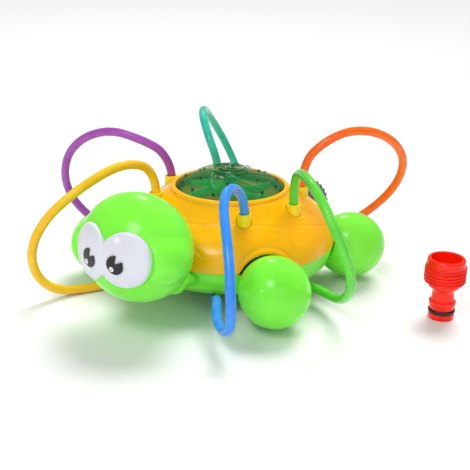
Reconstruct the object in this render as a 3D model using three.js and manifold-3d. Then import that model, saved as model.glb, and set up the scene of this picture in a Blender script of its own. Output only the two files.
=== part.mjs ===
// Turtle-shaped lawn sprinkler toy: a spinning spray dome in the shell, six
// whip tubes looped from top sockets back to park sockets under the belly,
// a knurled hose union at the tail and a loose tap adapter standing beside it.
// Millimetres, +X towards the nose, +Y to the turtle's left, +Z up, floor at z = 0.
import * as THREE from 'three';
import { mergeVertices } from 'three/addons/utils/BufferGeometryUtils.js';
import Module from 'manifold-3d';

const wasm = await Module();
wasm.setup();

// ---------------------------------------------------------------- dimensions
const GAP = 0.3;                       // assembly gap between touching pieces
const ORIGIN_SHIFT = [-8.176788, -34.286267, 0]; // puts the origin under the middle of the set

const SHELL_OUTER = [[36.8, 67.4], [38.0, 68.2], [39.3, 67.8], [40.2, 65.9], [45, 61.8], [50, 58],
  [56, 54.2], [63, 49.6], [68.5, 44], [71.4, 38], [72.6, 32.2]];
const SHELL_INNER = [[70.2, 32.2], [69.0, 37.6], [66.2, 42.8], [61.5, 47.6], [55, 51.8], [49, 55.4],
  [43.4, 59.2], [40.6, 62.6], [36.8, 63.4]];
const BELLY_BOTTOM_Z = 13;
const BELLY_WALL = 2.2;
const BELLY_OUTER = [[0, 13], [59, 13], [64.6, 15.2], [69.2, 19.6], [71.4, 25.8], [72.3, 31.9]];
const BELLY_INNER = [[69.9, 31.9], [69.1, 26.3], [67.1, 20.9], [63.4, 17.4], [58.5, 15.2], [0, 15.2]];

const FOOT_POS = { fl: [50, 68.5], rl: [-50, 68.5], fr: [50, -68.5], rr: [-50, -68.5] };
const FOOT_R = 22.4;                   // ball radius
const FOOT_LONG = 1.07;                // stretch of the ball along its leg
const FOOT_Z = 24.4;
const FOOT_WALL = 2;
const FOOT_PEG_R = 5;

const HEAD_C = [97.9, 0, 53.1];
const HEAD_R = [30.1, 36.6, 33.3];
const CHEEK = { c: [103, 20.2, 53.3], r: [20.55, 20.55, 17] };   // fuller front quarters beside the eyes
const HEAD_WALL = 2.2;
const EYE_LOBE = { y: 12.7, z: 2.6, ry: 15.3, rz: 16.7, t: 1.5 };
const EYE_BRIDGE = { z: -3.1, ry: 7, rz: 5.5 };   // fills the notch between the lobes from below
const PUPIL = { y: 9.8, z: 1, ry: 5, rz: 5.7, t: 0.6, tilt: 22 };

const SOCKET_R = 50.3;                 // pitch radius of the six top sockets
const SOCKET_OD = 9.3;
const SOCKET_TOP_Z = 64.4;
const SOCKETS = { blue: 45, green: 90, orange: 135, teal: -135, purple: -90, yellow: -45 };
const TUBE_OD = 6;
const TUBE_BORE_R = 3.35;              // socket bore around a tube
const PARK_Z = 9.4;                    // centre height of the park sockets under the belly

const DOME_R = 36.2;
const DOME_RIM_Z = 68;
const DOME_TOP_Z = 79.2;
const DOME_WALL = 1.8;
const DOME_HOLES = [[12, 32.5], [6, 22]]; // count and pitch radius of the spray holes
const DOME_HOLE_R = 0.9;

const UNION_Z = 27.4;                  // height of the hose inlet axis
const UNION_R = 16;
const UNION_X = [-91, -114];           // front and rear faces of the union nut
const UNION_BORE_R = 12.6;
const UNION_LUGS = 24;
const PIPE_R = 7;
const PIPE_BORE_R = 4.6;

const ADAPTER_AT = [-28, 146.9];
const ADAPTER_THREAD_R = 13.2;         // 3/4 inch male thread, 26.4 mm across its crests

const TUBE_ROUTES = {
  blue: [
    [35.6, 35.6, 56.2], [35.6, 35.6, 66.0], [38.3, 35.3, 75.3], [45.0, 35.9, 82.2],
    [53.9, 37.6, 85.6], [63.1, 40.7, 85.8], [71.5, 44.9, 83.1], [78.6, 49.9, 78.8],
    [84.8, 55.3, 73.4], [90.3, 60.5, 67.2], [95.3, 65.1, 60.2], [99.7, 69.0, 52.4],
    [103.1, 71.9, 43.8], [104.6, 73.5, 34.3], [103.3, 72.2, 24.8], [99.5, 67.2, 17.5],
    [94.0, 59.7, 14.7], [87.7, 52.5, 15.9], [80.3, 46.7, 18.6], [72.3, 41.2, 19.4],
    [65.4, 35.5, 15.8], [59.3, 29.9, 10.6], [51.7, 24.0, 9.3], [43.2, 19.2, 9.5],
    [34.2, 15.5, 9.4], [25.1, 11.9, 9.2], [16.1, 8.2, 9.1],
  ],
  green: [
    [0, 50.3, 56.2], [0, 50.3, 66.0], [1.2, 51.2, 75.7], [5.3, 54.5, 83.9],
    [11.7, 59.9, 89.0], [18.9, 66.0, 91.9], [26.2, 72.4, 93.5], [33.4, 79.0, 94.1],
    [40.5, 85.9, 93.7], [46.7, 93.1, 91.5], [51.1, 100.3, 86.5], [54.0, 106.8, 79.7],
    [54.7, 112.2, 71.5], [53.4, 116.0, 62.6], [50.4, 117.7, 53.4], [46.1, 117.4, 44.5],
    [40.9, 115.2, 36.5], [35.0, 111.4, 29.6], [28.8, 106.6, 23.7], [22.6, 100.8, 18.6],
    [16.5, 94.2, 14.7], [10.7, 86.6, 12.2], [5.7, 78.3, 10.9], [1.8, 69.3, 10.2],
    [-0.2, 59.7, 9.6], [-0.8, 49.8, 9.4], [-0.6, 40.0, 9.4],
  ],
  orange: [
    [-35.6, 35.6, 56.2], [-35.6, 35.6, 66.0], [-36.3, 36.7, 75.8], [-38.3, 39.4, 85.0],
    [-42.5, 44.5, 92.2], [-48.2, 50.4, 97.6], [-55.0, 56.5, 101.1], [-62.5, 62.8, 102.0],
    [-70.2, 68.7, 100.7], [-78.0, 73.7, 97.4], [-85.6, 77.5, 92.4], [-92.6, 80.0, 86.0],
    [-98.7, 80.8, 78.4], [-103.3, 79.6, 69.8], [-106.1, 76.6, 60.9], [-107.0, 72.2, 52.1],
    [-106.0, 66.8, 44.0], [-103.3, 60.8, 36.7], [-99.1, 54.6, 30.3], [-93.5, 48.8, 24.6],
    [-87.1, 43.3, 19.6], [-79.7, 38.3, 15.5], [-71.6, 33.6, 12.3], [-63.1, 29.1, 10.3],
    [-54.3, 24.9, 9.6], [-45.3, 20.7, 9.4], [-36.4, 16.6, 9.4],
  ],
  teal: [
    [-35.6, -35.6, 56.2], [-35.6, -35.6, 66.0], [-34.7, -38.0, 75.5], [-35.7, -42.8, 83.9],
    [-39.4, -48.8, 90.7], [-45.2, -55.2, 95.1], [-52.5, -61.4, 97.1], [-60.5, -67.0, 97.1],
    [-68.9, -72.0, 95.6], [-77.1, -76.1, 92.3], [-84.9, -79.1, 87.2], [-92.3, -80.7, 80.9],
    [-98.8, -80.7, 73.6], [-103.8, -79.0, 65.4], [-107.1, -76.0, 56.7], [-108.5, -71.8, 48.0],
    [-107.7, -66.6, 39.7], [-105.0, -61.1, 32.1], [-100.4, -55.4, 25.6], [-94.4, -49.8, 20.3],
    [-87.4, -44.4, 16.1], [-79.6, -39.2, 13.1], [-71.3, -34.4, 11.2], [-62.6, -29.9, 10.1],
    [-53.9, -25.6, 9.6], [-45.0, -21.3, 9.4], [-36.1, -17.1, 9.4],
  ],
  purple: [
    [0, -50.3, 56.2], [0, -50.3, 66.0], [2.2, -52.3, 75.2], [5.9, -56.7, 83.1],
    [10.7, -63.5, 88.0], [15.0, -71.6, 91.4], [18.0, -80.6, 93.6], [20.3, -90.1, 93.5],
    [22.2, -99.4, 91.2], [23.5, -108.2, 87.2], [24.1, -116.2, 81.7], [24.1, -123.2, 74.9],
    [23.4, -128.7, 66.9], [22.1, -132.4, 57.9], [20.3, -133.8, 48.5], [17.8, -132.7, 39.1],
    [14.8, -129.1, 30.6], [11.6, -123.2, 23.5], [8.6, -115.8, 17.9], [6.0, -107.4, 13.8],
    [3.9, -98.2, 11.1], [2.2, -88.7, 9.6], [1.0, -79.0, 9.0], [0.2, -69.3, 9.0],
    [-0.3, -59.5, 9.2], [-0.4, -49.8, 9.4], [-0.3, -40.0, 9.4],
  ],
  yellow: [
    [35.6, -35.6, 56.2], [35.6, -35.6, 65.9], [37.6, -36.6, 75.3], [43.4, -38.3, 82.7],
    [52.2, -40.5, 86.1], [61.6, -42.7, 86.9], [70.8, -45.1, 85.4], [79.6, -47.8, 82.4],
    [87.9, -50.9, 78.5], [95.5, -54.5, 73.7], [102.3, -58.5, 68.0], [108.0, -62.7, 61.3],
    [112.3, -66.5, 53.5], [114.9, -69.8, 44.8], [115.4, -72.0, 35.4], [113.5, -72.9, 26.0],
    [109.4, -72.4, 17.2], [103.2, -70.5, 10.1], [95.3, -67.4, 5.6], [86.7, -63.4, 3.7],
    [78.3, -58.5, 3.4], [70.1, -53.3, 4.1], [62.2, -47.9, 5.5], [54.5, -42.3, 7.3],
    [46.8, -36.5, 8.8], [39.1, -30.6, 9.5], [31.5, -24.6, 9.4],
  ],
};

// ------------------------------------------------------------------- helpers
const D2R = Math.PI / 180;

function solid(geometry) {
  const g0 = geometry.index ? geometry.toNonIndexed() : geometry.clone();
  for (const k of Object.keys(g0.attributes)) if (k !== 'position') g0.deleteAttribute(k);
  const g = mergeVertices(g0, 1e-4);
  const idx = Array.from(g.index.array);
  const p = g.attributes.position.array;
  const tri = [];
  let vol = 0;
  for (let i = 0; i < idx.length; i += 3) {
    const [a, b, c] = [idx[i], idx[i + 1], idx[i + 2]];
    if (a === b || b === c || a === c) continue;
    tri.push(a, b, c);
    const [ax, ay, az, bx, by, bz, cx, cy, cz] = [a, b, c].flatMap((k) => [p[3 * k], p[3 * k + 1], p[3 * k + 2]]);
    vol += ax * (by * cz - bz * cy) + ay * (bz * cx - bx * cz) + az * (bx * cy - by * cx);
  }
  if (vol < 0) for (let i = 0; i < tri.length; i += 3) [tri[i + 1], tri[i + 2]] = [tri[i + 2], tri[i + 1]];
  return new wasm.Manifold(new wasm.Mesh({
    numProp: 3, vertProperties: Float32Array.from(p), triVerts: Uint32Array.from(tri),
  }));
}

function toGeometry(man) {
  const m = man.getMesh();
  const pos = new Float32Array(m.numVert * 3);
  for (let i = 0; i < m.numVert; i++) for (let k = 0; k < 3; k++) pos[3 * i + k] = m.vertProperties[i * m.numProp + k];
  const g = new THREE.BufferGeometry();
  g.setAttribute('position', new THREE.BufferAttribute(pos, 3));
  g.setIndex(Array.from(m.triVerts));
  g.computeVertexNormals();
  return g;
}

// revolved profile of [radius, height] pairs about +Z
function revGeo(profile, seg) {
  const pts = profile.map(([r, z]) => new THREE.Vector2(r, z));
  const onAxis = profile[0][0] === 0 && profile[profile.length - 1][0] === 0;
  if (!onAxis) pts.push(pts[0].clone());
  return new THREE.LatheGeometry(pts, seg).rotateX(Math.PI / 2);
}
const rev = (profile, seg = 40) => solid(revGeo(profile, seg));
// the same about +X, the profile's second number being x
const revX = (profile, z0, seg = 32) => solid(revGeo(profile, seg).rotateY(Math.PI / 2).translate(0, 0, z0));

const rod = (r, z0, z1, x = 0, y = 0, seg = 20) => solid(
  new THREE.CylinderGeometry(r, r, z1 - z0, seg).rotateX(Math.PI / 2).translate(x, y, (z0 + z1) / 2));
// horizontal rod at height z, between two distances from the axis along a bearing in degrees
const spoke = (r, d0, d1, bearing, z, seg = 18) => solid(
  new THREE.CylinderGeometry(r, r, d1 - d0, seg).rotateZ(Math.PI / 2).translate((d0 + d1) / 2, 0, 0)
    .rotateZ(bearing * D2R).translate(0, 0, z));
const block = (x0, x1, y0, y1, z0, z1) => solid(
  new THREE.BoxGeometry(x1 - x0, y1 - y0, z1 - z0).translate((x0 + x1) / 2, (y0 + y1) / 2, (z0 + z1) / 2));
const ellipsoid = (c, r, ws, hs, bearing = 0) => solid(
  new THREE.SphereGeometry(1, ws, hs).rotateX(Math.PI / 2).scale(r[0], r[1], r[2])
    .rotateZ(bearing * D2R).translate(c[0], c[1], c[2]));

const set = new THREE.Group();
set.name = 'turtle_sprinkler';
set.position.set(...ORIGIN_SHIFT);

const plastic = (color, roughness = 0.3) => new THREE.MeshStandardMaterial({ color, roughness, metalness: 0 });
const MAT = {
  lime: plastic(0x78f046, 0.28),
  orange: plastic(0xffb414, 0.28),
  yellow: plastic(0xffe628, 0.3),
  white: plastic(0xe4e4ee, 0.25),
  black: plastic(0x1c1c22, 0.3),
  clearGreen: new THREE.MeshStandardMaterial({ color: 0x1e7a40, roughness: 0.12, metalness: 0, transparent: true, opacity: 0.55 }),
  rotorGreen: plastic(0x2ad24a, 0.3),
  natural: plastic(0xdedcd0, 0.5),
  grey: plastic(0x626662, 0.55),
  red: plastic(0xff3214, 0.3),
  rubber: plastic(0x151515, 0.7),
  steel: new THREE.MeshStandardMaterial({ color: 0xb8bcc0, roughness: 0.3, metalness: 1 }),
  tube: {
    blue: plastic(0x4696f0), green: plastic(0x6edc46), orange: plastic(0xff7814),
    teal: plastic(0x3cbeaa), purple: plastic(0xa54baf), yellow: plastic(0xfac828),
  },
};

function add(name, man, material, at = null) {
  const mesh = new THREE.Mesh(toGeometry(man), material);
  mesh.name = name;
  if (at) mesh.position.set(...at);
  set.add(mesh);
  return mesh;
}

const bearingOf = ([x, y]) => Math.atan2(y, x) / D2R;

// ---------------------------------------------------------------------- feet
const bodyEnvelope = rev([[0, 5], [59, 12.6], [64.9, 14.7], [69.7, 19.3], [71.9, 25.8], [73.1, 32.2], [71.9, 38.3],
  [68.9, 44.4], [63.4, 50.1], [56, 54.8], [0, 54.8]], 36);
const footSolids = {};
for (const [key, at] of Object.entries(FOOT_POS)) {
  const b = bearingOf(at);
  const d = Math.hypot(...at);
  const ball = ellipsoid([at[0], at[1], FOOT_Z], [FOOT_R * FOOT_LONG, FOOT_R, FOOT_R], 16, 10, b);
  const hollow = ellipsoid([at[0], at[1], FOOT_Z],
    [FOOT_R * FOOT_LONG - FOOT_WALL, FOOT_R - FOOT_WALL, FOOT_R - FOOT_WALL], 8, 6, b);
  const nub = rod(3.2, 0, FOOT_Z - FOOT_R + 3, at[0], at[1], 12);
  const peg = spoke(FOOT_PEG_R, 62, d + FOOT_R * FOOT_LONG - 1, b, FOOT_Z, 10);
  footSolids[key] = ball.add(nub).subtract(hollow).subtract(bodyEnvelope).add(peg.subtract(
    spoke(FOOT_PEG_R - 1.6, 61, d + 6, b, FOOT_Z, 8)));
  add(`foot_${key}`, footSolids[key], MAT.lime);
}

// --------------------------------------------------------------------- shell
let shell = rev([...SHELL_OUTER, ...SHELL_INNER], 32);
const screwAt = [[54.5, 19.8], [54.5, -19.8], [-54.5, 19.8], [-54.5, -19.8]];
for (const [x, y] of screwAt) shell = shell.add(rod(4, 18.3, 50.5, x, y, 10).subtract(rod(1.9, 17, 32, x, y, 8)));
for (const at of Object.values(FOOT_POS)) {
  const k = (FOOT_R + 1.3) / FOOT_R;
  shell = shell.subtract(ellipsoid([at[0], at[1], FOOT_Z],
    [FOOT_R * FOOT_LONG * k, FOOT_R * k, FOOT_R * k], 16, 10, bearingOf(at)));
}
for (const b of Object.values(SOCKETS)) {
  const [x, y] = [SOCKET_R * Math.cos(b * D2R), SOCKET_R * Math.sin(b * D2R)];
  shell = shell.subtract(rod(SOCKET_OD / 2 + 0.4, 40, 70, x, y, 12));
}
shell = shell.subtract(spoke(PIPE_R + 0.5, 60, 80, 180, UNION_Z, 24));
add('upper_shell', shell, MAT.orange);

// --------------------------------------------------------------------- belly
let belly = rev([...BELLY_OUTER, ...BELLY_INNER], 32);
for (const [x, y] of screwAt) {
  belly = belly.add(rod(5, 14, 18, x, y, 10)).subtract(rod(3.5, 12, 15.8, x, y, 10)).subtract(rod(2.1, 15, 19, x, y, 8));
}
for (const at of Object.values(FOOT_POS)) {
  belly = belly.subtract(spoke(FOOT_PEG_R + 0.5, 61, 78, bearingOf(at), FOOT_Z, 12));
}
belly = belly.subtract(spoke(PIPE_R + 0.5, 60, 80, 180, UNION_Z, 24)).subtract(block(-80, -60, -PIPE_R - 0.5, PIPE_R + 0.5, UNION_Z, 40));
belly = belly.subtract(spoke(6.4, 60, 80, 0, 24.4, 18));
// park sockets: short open collars under the floor of the belly, one per tube end
const PARK_L = 12;
for (const route of Object.values(TUBE_ROUTES)) {
  const e = route[route.length - 1];
  const q = route[route.length - 3];
  const b = Math.atan2(q[1] - e[1], q[0] - e[0]) / D2R;
  const at = (g) => solid(g.rotateZ(Math.PI / 2).rotateZ(b * D2R).translate(
    e[0] + Math.cos(b * D2R) * (PARK_L / 2 - 2), e[1] + Math.sin(b * D2R) * (PARK_L / 2 - 2), PARK_Z));
  belly = belly.add(at(new THREE.CylinderGeometry(5, 5, PARK_L, 10)))
    .subtract(at(new THREE.CylinderGeometry(TUBE_BORE_R + 0.3, TUBE_BORE_R + 0.3, PARK_L + 2, 8)));
}
add('lower_body', belly, MAT.lime);

for (let i = 0; i < screwAt.length; i++) {
  const screw = rev([[0, 13.5], [2.9, 13.5], [2.9, 14.4], [1.6, 15.5], [1.6, 30], [0, 31.2]], 10)
    .subtract(block(-2.2, 2.2, -0.4, 0.4, 13, 14.2)).subtract(block(-0.4, 0.4, -2.2, 2.2, 13, 14.2));
  add(`base_screw_${i + 1}`, screw, MAT.steel, [...screwAt[i], 0]);
}

// ----------------------------------------------------------- neck and head
const neckBase = (() => {
  const shape = new THREE.Shape();
  shape.absellipse(0, 0, 8.4, 24.1, 0, Math.PI * 2, false, 0);
  const g = new THREE.ExtrudeGeometry(shape, { depth: 12.5, steps: 1, bevelEnabled: false, curveSegments: 16 });
  // local x is -z, local y is y, depth runs forward
  return solid(g.rotateY(Math.PI / 2).translate(72, 0, 27.2));
})();
const headBall = (grow, ws = 26, hs = 16) => ellipsoid(HEAD_C, HEAD_R.map((r) => r + grow), ws, hs);
const neckBore = spoke(7.4, 60, 100, 0, 30, 18);
const neckPeg = spoke(6, 62, 92, 0, 24.4, 18);
let neck = neckBase.subtract(bodyEnvelope).subtract(headBall(GAP + 0.1)).add(
  spoke(6, 62, 78, 0, 24.4, 18)).subtract(rev([[0, 31.9], [80, 31.9], [80, 46], [0, 46]], 24).intersect(
  rev([...SHELL_OUTER.map(([r, z]) => [r + 0.4, z]), [0, 32.2], [0, 68.6]], 40)));
neck = neck.add(spoke(5, 76, 99, 0, 32.5, 16).subtract(bodyEnvelope));
add('neck', neck, MAT.lime);


// prism in the look direction from an outline in (y, z) about the head's middle
const facePrism = (shape, x0, x1) => solid(new THREE.ExtrudeGeometry(shape,
  { depth: x1 - x0, steps: 1, bevelEnabled: false, curveSegments: 14 })
  .rotateZ(Math.PI / 2).rotateY(Math.PI / 2).translate(HEAD_C[0] + x0, 0, HEAD_C[2]));
const ellipseShape = (y, z, ry, rz, tilt = 0) => {
  // shape x is z and shape y is -y before the two turns above
  const s = new THREE.Shape();
  s.absellipse(y, z, ry, rz, 0, Math.PI * 2, false, tilt * D2R);
  return s;
};
const skin = (g0, g1) => headBall(g1, 36, 22).subtract(headBall(g0, 36, 22));
const lobePrism = (grow) => facePrism(ellipseShape(EYE_LOBE.y, EYE_LOBE.z, EYE_LOBE.ry + grow, EYE_LOBE.rz + grow), 8, 45)
  .add(facePrism(ellipseShape(-EYE_LOBE.y, EYE_LOBE.z, EYE_LOBE.ry + grow, EYE_LOBE.rz + grow), 8, 45))
  .add(facePrism(ellipseShape(0, EYE_BRIDGE.z, EYE_BRIDGE.ry + grow, EYE_BRIDGE.rz + grow), 8, 45));
const lobes = lobePrism(0);

const headCore = headBall(0);
let head = headCore;
for (const side of [1, -1]) head = head.add(ellipsoid([CHEEK.c[0], side * CHEEK.c[1], CHEEK.c[2]], CHEEK.r, 24, 14));
head = head.subtract(lobePrism(GAP).subtract(headCore)).subtract(bodyEnvelope)
  .subtract(headBall(-HEAD_WALL, 16, 10)).subtract(spoke(5.5, 60, 98, 0, 32.5, 18));
add('head_shell', head, MAT.lime);
add('eye_mask', skin(GAP, GAP + EYE_LOBE.t).intersect(lobes), MAT.white);
for (const [name, side] of [['pupil_left', 1], ['pupil_right', -1]]) {
  const s = facePrism(ellipseShape(side * PUPIL.y, PUPIL.z, PUPIL.ry, PUPIL.rz, PUPIL.tilt), 5, 45);
  add(name, skin(2 * GAP + EYE_LOBE.t, 2 * GAP + EYE_LOBE.t + PUPIL.t).intersect(s), MAT.black);
}

// --------------------------------------------------------- water distribution
// chamber with six radial arms, each turning up under its socket
const CH = { r: 26, z0: 20.2, z1: 42, wall: 2 };
let chamber = rod(CH.r, CH.z0, CH.z1, 0, 0, 24);
let water = rod(CH.r - CH.wall, CH.z0 + CH.wall, CH.z1 + 1, 0, 0, 24);
for (const b of Object.values(SOCKETS)) {
  const [x, y] = [SOCKET_R * Math.cos(b * D2R), SOCKET_R * Math.sin(b * D2R)];
  chamber = chamber.add(spoke(3.8, 20, SOCKET_R, b, 34, 10)).add(rod(3.8, 30.6, 47, x, y, 10));
  water = water.add(spoke(2, 18, SOCKET_R + 1, b, 34, 6)).add(rod(2, 33, 48, x, y, 6));
}
water = water.add(spoke(PIPE_BORE_R, 20, 30, 180, UNION_Z, 16));
add('water_manifold', chamber.subtract(water), MAT.natural);

const cover = rev([[0, 42.3], [27.4, 42.3], [27.4, 44.3], [9, 44.3], [9, 56], [6.6, 56], [6.6, 44.3], [4.2, 44.3], [4.2, 52], [0, 52]], 18)
  .subtract(rod(2.3, 44.6, 53, 0, 0, 14));
let ports = cover;
for (let i = 0; i < 6; i++) {
  const a = (i * 60 + 30) * D2R;
  ports = ports.subtract(rod(1.0, 41, 46, 5.4 * Math.cos(a), 5.4 * Math.sin(a), 8));
}
add('manifold_cover', ports, MAT.natural);

const inlet = revX([[PIPE_BORE_R, -26.3], [PIPE_R, -26.3], [PIPE_R, -74], [10.4, -76], [10.4, -90.7], [PIPE_R, -90.7], [PIPE_R, -93.8],
  [11.8, -93.8], [11.8, -96], [PIPE_BORE_R, -96]], UNION_Z, 20);
add('inlet_pipe', inlet, MAT.natural);

// ---------------------------------------------------------- sockets and tubes
for (const [name, b] of Object.entries(SOCKETS)) {
  const collar = rev([[2.2, 47.4], [7, 47.4], [7, 49.2], [SOCKET_OD / 2, 49.2], [SOCKET_OD / 2, SOCKET_TOP_Z - 0.5],
    [SOCKET_OD / 2 - 0.5, SOCKET_TOP_Z], [TUBE_BORE_R, SOCKET_TOP_Z], [TUBE_BORE_R, 53.5], [2.2, 53.5]], 14);
  add(`outlet_socket_${name}`, collar, MAT.yellow, [SOCKET_R * Math.cos(b * D2R), SOCKET_R * Math.sin(b * D2R), 0]);
}
const tubeSection = (() => {
  const s = new THREE.Shape();
  for (let i = 0; i < 8; i++) {
    const a = (i / 8) * Math.PI * 2;
    if (i === 0) s.moveTo(Math.cos(a) * TUBE_OD / 2, Math.sin(a) * TUBE_OD / 2);
    else s.lineTo(Math.cos(a) * TUBE_OD / 2, Math.sin(a) * TUBE_OD / 2);
  }
  return s;
})();
for (const [name, route] of Object.entries(TUBE_ROUTES)) {
  const path = new THREE.CatmullRomCurve3(route.map((p) => new THREE.Vector3(...p)));
  const tube = solid(new THREE.ExtrudeGeometry(tubeSection, { steps: 20, bevelEnabled: false, extrudePath: path }));
  add(`whip_tube_${name}`, tube, MAT.tube[name]);
}

// --------------------------------------------------------------- spray dome
const capProfile = (r, zRim, zTop, n) => {
  const h = zTop - zRim;
  const R = (r * r + h * h) / (2 * h);
  const a1 = Math.asin(r / R);
  return Array.from({ length: n + 1 }, (_, i) => {
    const a = (a1 * i) / n;
    return [i === 0 ? 0 : R * Math.sin(a), zTop - R * (1 - Math.cos(a))];
  });
};
const outerCap = capProfile(DOME_R, DOME_RIM_Z, DOME_TOP_Z, 6);
const innerCap = capProfile(DOME_R - DOME_WALL, DOME_RIM_Z - 1.2, DOME_TOP_Z - DOME_WALL, 6).reverse();
let dome = rev([...outerCap, [DOME_R, 60.9], [DOME_R - DOME_WALL, 60.9], ...innerCap], 24);
for (const [n, r] of DOME_HOLES) {
  for (let i = 0; i < n; i++) {
    const a = ((i + 0.5) / n) * Math.PI * 2;
    dome = dome.subtract(rod(DOME_HOLE_R, 62, 82, r * Math.cos(a), r * Math.sin(a), 4));
  }
}
add('spray_dome', dome, MAT.clearGreen);

let rotor = rev([[3.7, 57.9], [9.6, 57.9], [9.6, 51], [11.2, 51], [11.2, 57.9], [35.4, 57.9], [35.4, 60.5], [5.6, 60.5], [5.6, 70.2], [3.7, 70.2]], 28);
for (let i = 0; i < 6; i++) {
  const a = i * 60 * D2R;
  const pts = Array.from({ length: 5 }, (_, k) => {
    const r = 5 + (27 * k) / 4;
    const t = a + 0.62 * (k / 4);
    return [r * Math.cos(t), r * Math.sin(t)];
  });
  const outline = [];
  pts.forEach(([x, y], k) => {
    const [x2, y2] = pts[Math.min(k + 1, 4)];
    const [x1, y1] = pts[Math.max(k - 1, 0)];
    const l = Math.hypot(x2 - x1, y2 - y1);
    outline.push([x - (0.6 * (y2 - y1)) / l, y + (0.6 * (x2 - x1)) / l]);
    outline.unshift([x + (0.6 * (y2 - y1)) / l, y - (0.6 * (x2 - x1)) / l]);
  });
  const s = new THREE.Shape(outline.map(([x, y]) => new THREE.Vector2(x, y)));
  rotor = rotor.add(solid(new THREE.ExtrudeGeometry(s, { depth: 6.5, steps: 1, bevelEnabled: false }).translate(0, 0, 60)));
}
for (let i = 0; i < 6; i++) {
  const a = (i * 60 + 30) * D2R;
  rotor = rotor.subtract(rod(0.9, 56, 62, 7.4 * Math.cos(a), 7.4 * Math.sin(a), 8));
}
add('spray_rotor', rotor, MAT.rotorGreen);

add('rotor_bush', rev([[2.35, 56.2], [3.4, 56.2], [3.4, 70], [2.35, 70]], 18), MAT.natural);
add('spindle', rev([[0, 44.9], [2, 44.9], [2, 72.4], [1.6, 73], [0, 73]], 16), MAT.steel);
add('spindle_cap', rev([[2.3, 70.6], [4.6, 70.6], [4.6, 73.2], [3.4, 74.4], [0, 74.4], [0, 73.3], [2.3, 73.3]], 18), MAT.natural);
add('rotor_seal', rev([[6.7, 56.3], [9, 56.3], [9, 57.6], [6.7, 57.6]], 24), MAT.rubber);

// ---------------------------------------------------------------- hose union
const nutShape = new THREE.Shape();
const N = UNION_LUGS * 4;
for (let i = 0; i < N; i++) {
  const a = (i / N) * Math.PI * 2;
  const r = i % 4 < 2 ? UNION_R : UNION_R - 1.1;
  if (i === 0) nutShape.moveTo(r * Math.cos(a), r * Math.sin(a));
  else nutShape.lineTo(r * Math.cos(a), r * Math.sin(a));
}
const nutLength = UNION_X[0] - UNION_X[1];
const nutBlank = solid(new THREE.ExtrudeGeometry(nutShape, { depth: nutLength, steps: 1, bevelEnabled: false })
  .rotateY(Math.PI / 2).translate(UNION_X[1], 0, UNION_Z));
const nut = nutBlank.subtract(revX([[0, UNION_X[0] - 2.5], [UNION_BORE_R, UNION_X[0] - 2.5], [UNION_BORE_R, -116], [0, -116]], UNION_Z, 22))
  .subtract(spoke(PIPE_R + 0.5, 88, 96, 180, UNION_Z, 20));
add('union_nut', nut, MAT.grey);
add('hose_washer', revX([[6.9, -96.3], [12.1, -96.3], [12.1, -98.3], [6.9, -98.3]], UNION_Z, 16), MAT.rubber);
let screen = revX([[0, -96.3], [6.5, -96.3], [6.5, -97.3], [0, -97.3]], UNION_Z, 16);
for (let i = 0; i < 7; i++) {
  const a = (i * 60) * D2R;
  const r = i === 6 ? 0 : 3.6;
  screen = screen.subtract(solid(new THREE.CylinderGeometry(1.1, 1.1, 4, 6).rotateZ(Math.PI / 2)
    .translate(-96.8, r * Math.cos(a), UNION_Z + r * Math.sin(a))));
}
add('inlet_screen', screen, MAT.steel);

// --------------------------------------------------------------- tap adapter
const ridge = (z) => [[12.1, z], [ADAPTER_THREAD_R, z + 0.6], [ADAPTER_THREAD_R, z + 1.1], [12.1, z + 1.7]];
const adapter = rev([[5, 0], [8.2, 0], [8.2, 3.9], [7.1, 3.9], [7.1, 6.7], [7.9, 6.7], [7.9, 9.5], [8.5, 9.8],
  [8.5, 12], [7.2, 13], [6.9, 18.3], [8, 21], [10.1, 22.3], [10.2, 24.3], [12.1, 24.6],
  ...[25.1, 27.9, 30.7, 33.5].flatMap(ridge), [12.1, 36.6], [11.9, 40.4], [11.3, 41],
  [9.6, 41], [9.6, 27], [5, 24.6]], 18);
add('adapter_body', adapter, MAT.red, [...ADAPTER_AT, 0]);
add('adapter_o_ring', rev([[7.4, 4.4], [7.9, 4.15], [8.4, 4.4], [8.6, 5.3], [8.4, 6.2], [7.9, 6.45], [7.4, 6.2]], 16), MAT.rubber, [...ADAPTER_AT, 0]);

export default set;
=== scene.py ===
import bpy, bmesh, math
import numpy as np
from mathutils import Vector, Matrix


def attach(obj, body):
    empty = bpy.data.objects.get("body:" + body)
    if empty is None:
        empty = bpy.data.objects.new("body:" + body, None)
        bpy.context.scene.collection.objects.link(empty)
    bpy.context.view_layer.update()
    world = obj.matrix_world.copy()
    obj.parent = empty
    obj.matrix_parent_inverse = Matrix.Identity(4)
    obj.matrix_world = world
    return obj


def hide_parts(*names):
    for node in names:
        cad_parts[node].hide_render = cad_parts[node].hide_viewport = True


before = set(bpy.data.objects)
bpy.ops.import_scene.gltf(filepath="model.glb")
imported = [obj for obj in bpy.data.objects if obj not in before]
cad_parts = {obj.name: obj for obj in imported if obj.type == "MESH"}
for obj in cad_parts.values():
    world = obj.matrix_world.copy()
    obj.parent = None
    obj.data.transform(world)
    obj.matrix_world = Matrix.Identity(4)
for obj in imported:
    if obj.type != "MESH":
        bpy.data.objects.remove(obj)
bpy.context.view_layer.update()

# ------------------------------------------------------------------ frame
OX, OY = -8.176788, -34.286267      # mm, from the toy's own axes to the row frame


def W(p):
    """toy millimetres -> row metres, for one point or an array"""
    q = np.asarray(p, float).copy()
    q[..., 0] += OX
    q[..., 1] += OY
    return q * 0.001


def smooth(t):
    t = np.clip(t, 0, 1)
    return t * t * (3 - 2 * t)


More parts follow.
